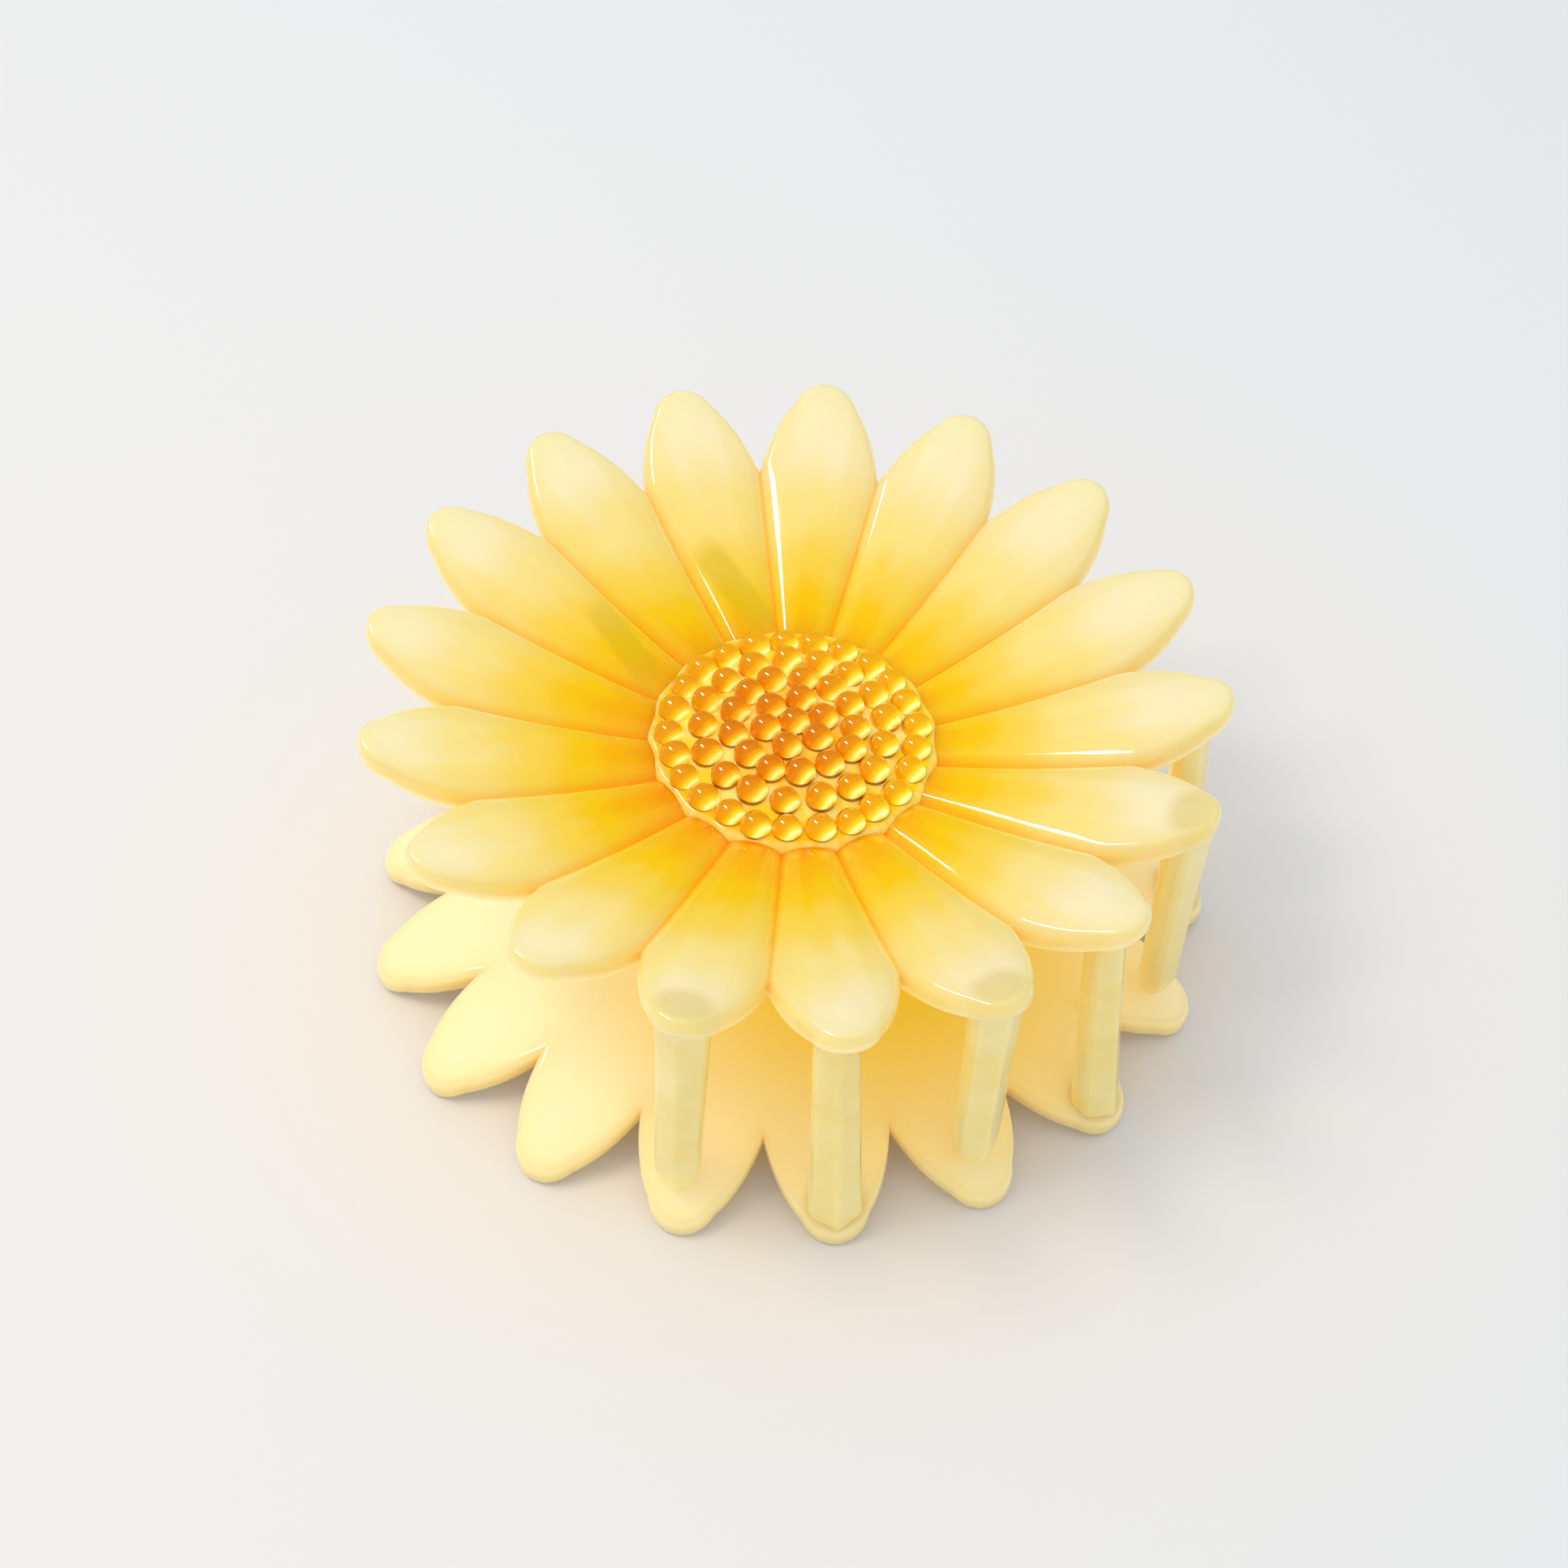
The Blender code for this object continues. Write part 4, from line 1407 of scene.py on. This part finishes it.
@dataclass
class Half:
    """One half of the clip: its flower, dome, teeth and ears."""

    form: FlowerForm
    frame: HalfFrame
    teeth: dict[Hand, int]
    ear_x: float

    def weld_shade_marks(self) -> list[dict[str, object]]:
        """The welds of teeth and ears that show through the petals, as patches of painted shadow over
        thicker bonded plastic.
        """
        marks = []
        for sign in (-1.0, 1.0):
            marks.append({"Middle": (sign * self.ear_x, self.form.pin.y, 0.0), "Turn": math.pi / 2,
                          "Half_Length": 5.0 * MM, "Half_Width": 1.5 * MM})
        for petal in self.teeth.values():
            angle = self.frame.petal_angle(self.form, petal)
            reach = Tooth.root_radius - 0.3 * MM
            marks.append({"Middle": (reach * math.cos(angle), reach * math.sin(angle), 0.0),
                          "Turn": angle, "Half_Length": 2.0 * MM, "Half_Width": 2.6 * MM,
                          "Roundness": 2.4, "Softness": 1.5 * MM})
        return marks

    def build(self, effects: SharedEffects) -> list[bpy.types.Object]:
        """Build the half.

        Args:
            effects: The shared shader groups.

        Returns:
            Its pieces.
        """
        label = self.frame.side.value
        made = [Flower(self.form, self.frame, self.weld_shade_marks()).build(effects)]
        made += Dome(self.form, self.frame).build(effects)
        plastic = PalePlasticFinish(label + "_tooth_plastic", self.frame.side).make(effects)
        for hand, petal in self.teeth.items():
            made.append(Tooth(self.form, self.frame, hand, petal).build(plastic))
        lug = PalePlasticFinish(label + "_ear_plastic", self.frame.side).make(effects)
        for hand, sign in ((Hand.LEFT, -1.0), (Hand.RIGHT, 1.0)):
            x = sign * self.ear_x * (-1.0 if self.frame.side is Side.BACK else 1.0)
            made.append(Ear(self.form, self.frame, hand, x).build(lug))
        return made


# ---------------------------------------------------------------- the hinge's metal


@dataclass
class HingePin:
    """The straight steel pin with its two low peened heads."""

    pin: Vector
    half_length: float = 11.2 * MM
    radius: float = 0.8 * MM
    head_radius: float = 1.4 * MM
    head: float = 0.6 * MM

    def build(self, material: bpy.types.Material) -> bpy.types.Object:
        """Build and dress the pin.

        Args:
            material: Its material.

        Returns:
            The pin.
        """
        crown = [(0.0, self.head)]
        for k in range(1, 7):
            turn = k * math.pi / 12
            radius = self.head_radius * math.sin(turn) ** 0.8
            crown.append((radius, self.head * math.cos(turn) ** 0.6))
        crown[-1] = (self.head_radius, 0.12 * MM)
        crown += [(self.head_radius * 0.97, 0.0), (self.radius, 0.0), (self.radius, -0.4 * MM)]
        top = [(r, self.half_length + z) for r, z in crown]
        bm = turned(top + [(r, -z) for r, z in reversed(top)], 40)
        matrix = Matrix.Translation(self.pin) @ Matrix.Rotation(math.pi / 2, 4, "Y")
        piece = make_object("steel_hinge_pin", bm, matrix, 40.0)
        return dress(piece, material, Side.BACK.body, "hinge_pin")


@dataclass
class TorsionSpring:
    """The coiled spring whose legs push the finger petals apart."""

    form: FlowerForm
    pin: Vector
    wire: float = 0.45 * MM
    coil: float = 2.2 * MM
    turns: int = 6
    pitch: float = 1.15 * MM
    leg: float = 11.0 * MM
    sides: int = 14

    def path(self) -> list[Vector]:
        """The wire's middle line from one leg's end through the coil to the other's."""
        form, pin = self.form, self.form.pin
        start = self.turns * self.pitch / 2
        spare = self.wire + 0.12 * MM
        far_y = pin.y + self.leg
        far_z = float(form.inner_height(np.float64(math.hypot(start, far_y)))) - spare - pin.z
        near_y = pin.y + self.leg / 2
        near_z = float(form.inner_height(np.float64(math.hypot(start, near_y)))) - pin.z
        near_z = 0.86 * (near_z - 2.2 * (self.wire + 0.3 * MM))
        hook = 2.0 * MM
        bend = 0.7 * MM
        first = [Vector((start - hook, self.leg, far_z)), Vector((start - bend, self.leg, far_z))]
        first += [Vector((start - 0.2 * bend, self.leg - 0.2 * bend, far_z))]
        first += [Vector((start, self.leg - bend, far_z - 0.3 * bend))]
        first += [Vector((start, self.leg / 2, near_z))]
        leave = math.radians(125.0)
        sweep = self.turns * 2 * math.pi + math.pi - 2 * (leave - math.pi / 2)
        steps = self.turns * 32
        coil = []
        for k in range(steps + 1):
            share = k / steps
            turn = leave + sweep * share
            coil.append(Vector((start * (1.0 - 2.0 * share), self.coil * math.cos(turn),
                                self.coil * math.sin(turn))))
        last = [Vector((-p.x, p.y, -p.z)) for p in reversed(first)]
        return first + coil + last

    def build(self, material: bpy.types.Material) -> bpy.types.Object:
        """Build and dress the spring, which twists between the halves.

        Args:
            material: Its material.

        Returns:
            The spring.
        """
        path = self.path()
        bm = bmesh.new()
        rings = []
        side = Vector((0.0, 0.0, 1.0))
        for k, point in enumerate(path):
            ahead = path[min(k + 1, len(path) - 1)] - path[max(k - 1, 0)]
            ahead.normalize()
            side = (side - ahead * side.dot(ahead)).normalized()
            up = ahead.cross(side)
            turns = [2 * math.pi * n / self.sides for n in range(self.sides)]
            rings.append([bm.verts.new(point + self.wire * (side * math.cos(a) + up * math.sin(a)))
                          for a in turns])
        for first, second in zip(rings, rings[1:]):
            bridge(bm, first, second)
        for ring in (rings[0], rings[-1]):
            fan(bm, bm.verts.new(sum((v.co for v in ring), Vector()) / len(ring)), ring)
        matrix = Matrix.Translation(self.pin) @ Matrix.Rotation(self.form.half_spread, 4, "X")
        piece = make_object("torsion_spring", bm, matrix, 60.0)
        reach = Vector((self.turns * self.pitch * 0.36, 0.0, 0.0))
        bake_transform(piece, Side.BACK.body, Side.FRONT.body,
                 start=tuple(self.pin - reach), end=tuple(self.pin + reach))
        return dress(piece, material, "", "spring")


# ---------------------------------------------------------------- the studio


@dataclass(frozen=True)
class Studio:
    """A plain pale floor, soft light from the left, a glint strip and the camera."""

    target: tuple[float, float, float] = (0.32 * MM, 1.34 * MM, 17.51 * MM)
    distance: float = 0.350
    azimuth: float = -38.12
    elevation: float = 46.1
    lens_share: float = 2.377
    floor_color: Color = hex_color("F1F1F2")
    far_painted_tint: Color = (0.90, 0.84, 0.765)
    far_tint_band: tuple[float, float] = (0.25, 0.90)
    sky_strength: float = 0.85
    sky_gloss: float = 0.09
    sky_color: Color = (0.85, 0.915, 1.0)
    wall_color: Color = (0.77, 0.77, 0.775)
    key_color: Color = (1.0, 0.80, 0.50)
    key_power: float = 1.15
    key_length: float = 0.32
    key_width: float = 0.15
    key_direction: tuple[float, float, float] = (-0.38, 0.24, 0.89)
    glint_power: float = 1.5
    glint_length: float = 0.34
    glint_width: float = 0.09
    glint_direction: tuple[float, float, float] = (-0.235, 0.48, 0.82)
    glint_roll: float = -32.5
    box_distance: float = 0.62

    def aim(self, piece: bpy.types.Object, spot: Vector, target: Vector,
            roll: float = 0.0) -> None:
        """Put an object at a spot and turn its -Z axis to a target.

        Args:
            piece: The camera or light.
            spot: Where it stands.
            target: What it looks at.
            roll: Degrees that it is then turned about its own axis.
        """
        piece.location = spot
        turn = Quaternion((0.0, 0.0, 1.0), math.radians(roll))
        piece.rotation_euler = ((target - spot).to_track_quat("-Z", "Y") @ turn).to_euler()

    def add_camera(self) -> None:
        """Make the camera and set it as the scene's."""
        data = bpy.data.cameras.new("camera")
        data.sensor_width = 36.0
        data.lens = 36.0 * self.lens_share
        data.clip_start = 0.01
        camera = bpy.data.objects.new("camera", data)
        bpy.context.scene.collection.objects.link(camera)
        turn, rise = math.radians(self.azimuth), math.radians(self.elevation)
        away = Vector((math.sin(turn) * math.cos(rise), -math.cos(turn) * math.cos(rise),
                       math.sin(rise)))
        target = Vector(self.target)
        self.aim(camera, target + away * self.distance, target)
        bpy.context.scene.camera = camera

    def add_soft_box(self, name: str, size: tuple[float, float], power: float, color: Color,
                     direction: tuple[float, float, float], roll: float) -> bpy.types.Object:
        """Hang one soft box over the clip.

        Args:
            name: The light's name.
            size: Its width and length.
            power: Its power in watts.
            color: Its colour.
            direction: Where it hangs, seen from the clip.
            roll: Degrees that it is turned about its own axis.

        Returns:
            The light.
        """
        data = bpy.data.lights.new(name, "AREA")
        data.shape = "RECTANGLE"
        data.size, data.size_y = size
        data.energy = power
        data.color = color
        light = bpy.data.objects.new(name, data)
        bpy.context.scene.collection.objects.link(light)
        target = Vector((0.0, 0.0, 15.0 * MM))
        away = Vector(direction).normalized() * self.box_distance
        self.aim(light, target + away, target, roll)
        return light

    def add_lights(self) -> None:
        """Light the clip from the left, and give its gloss a long bright strip to show."""
        key = self.add_soft_box("key", (self.key_length, self.key_width), self.key_power,
                                self.key_color, self.key_direction, 0.0)
        key.visible_glossy = False
        glint = self.add_soft_box("glint", (self.glint_width, self.glint_length),
                                  self.glint_power, (1.0, 1.0, 1.0), self.glint_direction,
                                  self.glint_roll)
        glint.visible_diffuse = False

    def add_floor(self) -> None:
        """Make the floor, a wide pale sheet painted warmer far from the clip, standing for where only the
        sky lights it.
        """
        bm = bmesh.new()
        bmesh.ops.create_grid(bm, x_segments=8, y_segments=8, size=3.0)
        floor = make_object("floor", bm, Matrix.Translation((0.0, 0.0, -0.02 * MM)))
        material, sheet, shader = new_material("pale_floor")
        noise = sheet.add("ShaderNodeTexNoise")
        noise.inputs["Scale"].default_value = 3.0
        soft = sheet.math("MULTIPLY", noise.outputs["Fac"], 0.03)
        color = sheet.mix(soft, self.floor_color, (0.80, 0.80, 0.80))
        # Painted light: the floor is tinted warmer far from the clip.
        far = sheet.ramp(sheet.distance(sheet.place()), *self.far_tint_band)
        color = sheet.mix(far, color, self.far_painted_tint)
        sheet.feed(shader.inputs["Base Color"], color)
        set_plain(shader, Roughness=0.9, Specular_IOR_Level=0.1)
        floor.data.materials.append(material)

    def add_world(self) -> None:
        """Light everything softly from all round, with a dimmer surround in the gloss."""
        world = bpy.data.worlds.new("studio")
        world.use_nodes = True
        sheet = NodeSheet(world.node_tree)
        back = world.node_tree.nodes["Background"]
        rays = sheet.add("ShaderNodeLightPath")
        seen = sheet.mix(rays.outputs["Is Camera Ray"], self.sky_color, self.wall_color)
        sheet.feed(back.inputs["Color"], seen)
        gloss = rays.outputs["Is Glossy Ray"]
        less = self.sky_gloss - self.sky_strength
        sheet.feed(back.inputs["Strength"],
                   sheet.math("MULTIPLY_ADD", gloss, less, self.sky_strength))
        bpy.context.scene.world = world

    def build(self) -> None:
        """Set the whole studio up."""
        bpy.context.scene.view_settings.view_transform = "Standard"
        self.add_world()
        self.add_floor()
        self.add_lights()
        self.add_camera()


def main() -> None:
    """Load the frame, and build both halves and the hinge round it."""
    logging.basicConfig(level=logging.INFO, format="%(name)s: %(message)s")
    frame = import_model()
    hinge = frame["joints"][0]
    pin = Vector(hinge["pos_m"])
    form = FlowerForm()
    effects = SharedEffects.make()
    Studio().build()
    front = Half(form, HalfFrame.find(Side.FRONT, form, pin),
                 {Hand.LEFT: 10, Hand.MIDDLE: 8, Hand.RIGHT: 6}, 6.4 * MM)
    back = Half(form, HalfFrame.find(Side.BACK, form, pin),
                {Hand.LEFT: 9, Hand.MIDDLE: 7, Hand.RIGHT: 5}, 9.5 * MM)
    for half in (front, back):
        half.build(effects)
    HingePin(pin).build(SteelFinish("pin_steel").make(effects))
    TorsionSpring(form, pin).build(SteelFinish("spring_steel").make(effects))


if __name__ == "__main__":
    main()
